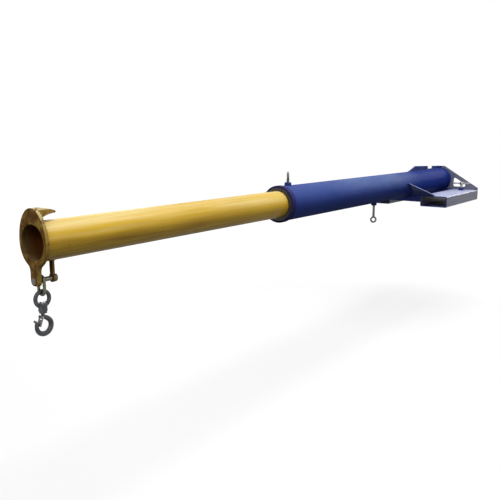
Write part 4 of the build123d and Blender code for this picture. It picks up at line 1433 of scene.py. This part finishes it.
@dataclass
class HookTrain(SubAssembly):
    """The chain link, swivel eye, hook and sprung latch."""

    wire_radius: float = 0.005
    flash: float = 0.0011
    flash_steps: int = 40
    seed: float = 5.0

    def dress(self) -> None:
        """Give each piece its steel."""
        self.shelf.paint(Finish.OLIVE_CHAIN, "top_link")
        self.shelf.paint(Finish.FORGED, "swivel_eye", "hook")
        self.shelf.paint(Finish.TURNED_STEEL, "shank_button")
        self.shelf.paint(Finish.LATCH_PLATE, "hook_latch")
        self.shelf.paint(Finish.ZINC, "latch_pin", "latch_spring")

    def build(self) -> None:
        """Raise the weld flash on the link's closed side."""
        centre = middle("top_link")
        wire_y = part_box("top_link")[1].y - self.wire_radius
        angles = [2 * math.pi * i / self.flash_steps for i in range(self.flash_steps)]
        ring = [Vector((centre.x + self.wire_radius * math.cos(a), wire_y + self.wire_radius * math.sin(a),
                        centre.z)) for a in angles]
        self.trees.beads.lay("link_weld", [Run(ring, True)], "link", "olive_chain_steel",
                             self.shelf[Finish.OLIVE_CHAIN], self.flash, self.seed)


@dataclass(frozen=True)
class Lamp:
    """A soft oblong lamp that looks at a point."""

    name: str
    place: Xyz
    target: Xyz
    size: Span
    power: float

    def hang(self) -> None:
        """Add the lamp to the scene."""
        light = bpy.data.lights.new(self.name, "AREA")
        light.energy = self.power
        light.shape = "RECTANGLE"
        light.size, light.size_y = self.size
        holder = bpy.data.objects.new(self.name, light)
        aim = Vector(self.target) - Vector(self.place)
        turn = aim.to_track_quat("-Z", "Y").to_matrix().to_4x4()
        holder.matrix_world = Matrix.Translation(self.place) @ turn
        bpy.context.scene.collection.objects.link(holder)


@dataclass
class Studio:
    """White surround, pale floor, soft lamps and the camera at the photograph's angle."""

    eye: Xyz = (4.63932, 1.59256, 0.38919)
    yaw: float = -143.555
    pitch: float = -10.620
    roll: float = -0.0825
    focal_share: float = 600 / 500
    sensor: float = 36.0
    floor_height: float = -0.9
    floor_half: float = 40.0
    floor_colour: Rgb = (0.22, 0.22, 0.22)
    floor_bounce: Rgb = (0.09, 0.09, 0.095)
    floor_glow: Rgb = (0.74, 0.74, 0.74)
    floor_roughness: float = 0.9
    shadow_reach: Span = (2.0, 4.2)
    ambient: float = 0.07
    lamps: tuple[Lamp, ...] = (
        Lamp("overhead", (1.9, 0.75, 3.3), (1.9, 0.3, 0.0), (5.0, 1.6), 170.0),
        Lamp("front_key", (5.1, 0.7, 1.0), (3.4, 0.0, 0.07), (1.0, 1.0), 18.0),
        Lamp("side_fill", (2.2, 2.4, 0.7), (2.2, 0.0, 0.05), (1.6, 0.6), 14.0),
        Lamp("far_fill", (1.6, -3.4, 1.5), (1.6, 0.0, 0.0), (4.0, 1.4), 90.0),
        Lamp("rear_fill", (-2.4, 0.6, 1.0), (0.2, 0.0, 0.05), (1.6, 1.2), 40.0),
    )

    def build(self) -> None:
        """Set up the whole studio."""
        bpy.context.scene.view_settings.view_transform = "Standard"
        self.camera()
        self.surround()
        self.floor()
        for lamp in self.lamps:
            lamp.hang()

    def camera(self) -> None:
        """Place the camera from its eye point and three turns."""
        yaw, pitch, roll = (math.radians(a) for a in (self.yaw, self.pitch, self.roll))
        ahead = Vector((math.cos(yaw) * math.cos(pitch), math.sin(yaw) * math.cos(pitch), math.sin(pitch)))
        right = ahead.cross(Vector((0, 0, 1))).normalized()
        down = -right.cross(ahead)
        across = right * math.cos(roll) + down * math.sin(roll)
        below = down * math.cos(roll) - right * math.sin(roll)
        turn = Matrix((across, -below, -ahead)).transposed().to_4x4()
        lens = bpy.data.cameras.new("camera")
        lens.sensor_width = self.sensor
        lens.lens = self.focal_share * self.sensor
        holder = bpy.data.objects.new("camera", lens)
        holder.matrix_world = Matrix.Translation(self.eye) @ turn
        bpy.context.scene.collection.objects.link(holder)
        bpy.context.scene.camera = holder

    @staticmethod
    def seen(g: Graph) -> Socket:
        """1 for the rays that see the white surround, 0 for those that only light things."""
        path = g.add("ShaderNodeLightPath")
        return g.greatest(*(path.outputs[ray.value] for ray in Ray))

    def surround(self) -> None:
        """White world that lights softly."""
        world = bpy.data.worlds.new("studio_white")
        world.use_nodes = True
        bpy.context.scene.world = world
        g = Graph(world.node_tree)
        back = world.node_tree.nodes["Background"]
        g.feed(back.inputs["Color"], WHITE)
        g.feed(back.inputs["Strength"], g.remap(self.seen(g), 0.0, 1.0, self.ambient, 1.0))

    def floor(self) -> None:
        """Plain pale floor that keeps a faint shadow, and that a view from below looks through."""
        half, z = self.floor_half, self.floor_height
        corners = [(-half, -half, z), (half, -half, z), (half, half, z), (-half, half, z)]
        mesh = bpy.data.meshes.new("floor")
        mesh.from_pydata(corners, [], [(0, 1, 2, 3)])
        floor = bpy.data.objects.new("floor", mesh)
        bpy.context.scene.collection.objects.link(floor)
        g = MaterialGraph("pale_floor", {})
        middle_x = (CAD_BOX[0].x + CAD_BOX[1].x) / 2
        away = g.vector("DISTANCE", g.coords(), (middle_x, 0.0, z)).outputs["Value"]
        glow = g.blend(g.remap(away, *self.shadow_reach), self.floor_glow, WHITE)
        mesh.materials.append(g.finish(
            Base_Color=g.blend(self.seen(g), self.floor_bounce, self.floor_colour),
            Roughness=self.floor_roughness,
            Specular_IOR_Level=0.0,
            Emission_Color=g.blend(self.seen(g), BLACK, glow),
            Emission_Strength=1.0,
            Alpha=g.math("SUBTRACT", 1.0, g.geometry("Backfacing")),
        ))


def main() -> None:
    """Build and dress the boom piece by piece, then set the studio round it."""
    logging.basicConfig(level=logging.INFO, format="%(name)s: %(message)s")
    tools = FinishShelf(EffectKit().groups), TreeRack()
    pieces: list[SubAssembly] = [
        ForkFrame(*tools),
        OuterBoom(*tools),
        Telescope(*tools),
        LockingScrew(*tools, "mouth", Upright.ABOVE, turn=36.0),
        LockingScrew(*tools, "belly", Upright.BELOW, turn=-53.0),
        ForkClamp(*tools, Hand.LEFT),
        ForkClamp(*tools, Hand.RIGHT),
        HookTrain(*tools),
    ]
    for piece in pieces:
        piece.dress()
        piece.build()
        LOG.info("finished %s", type(piece).__name__)
    Studio().build()


if __name__ == "__main__":
    main()
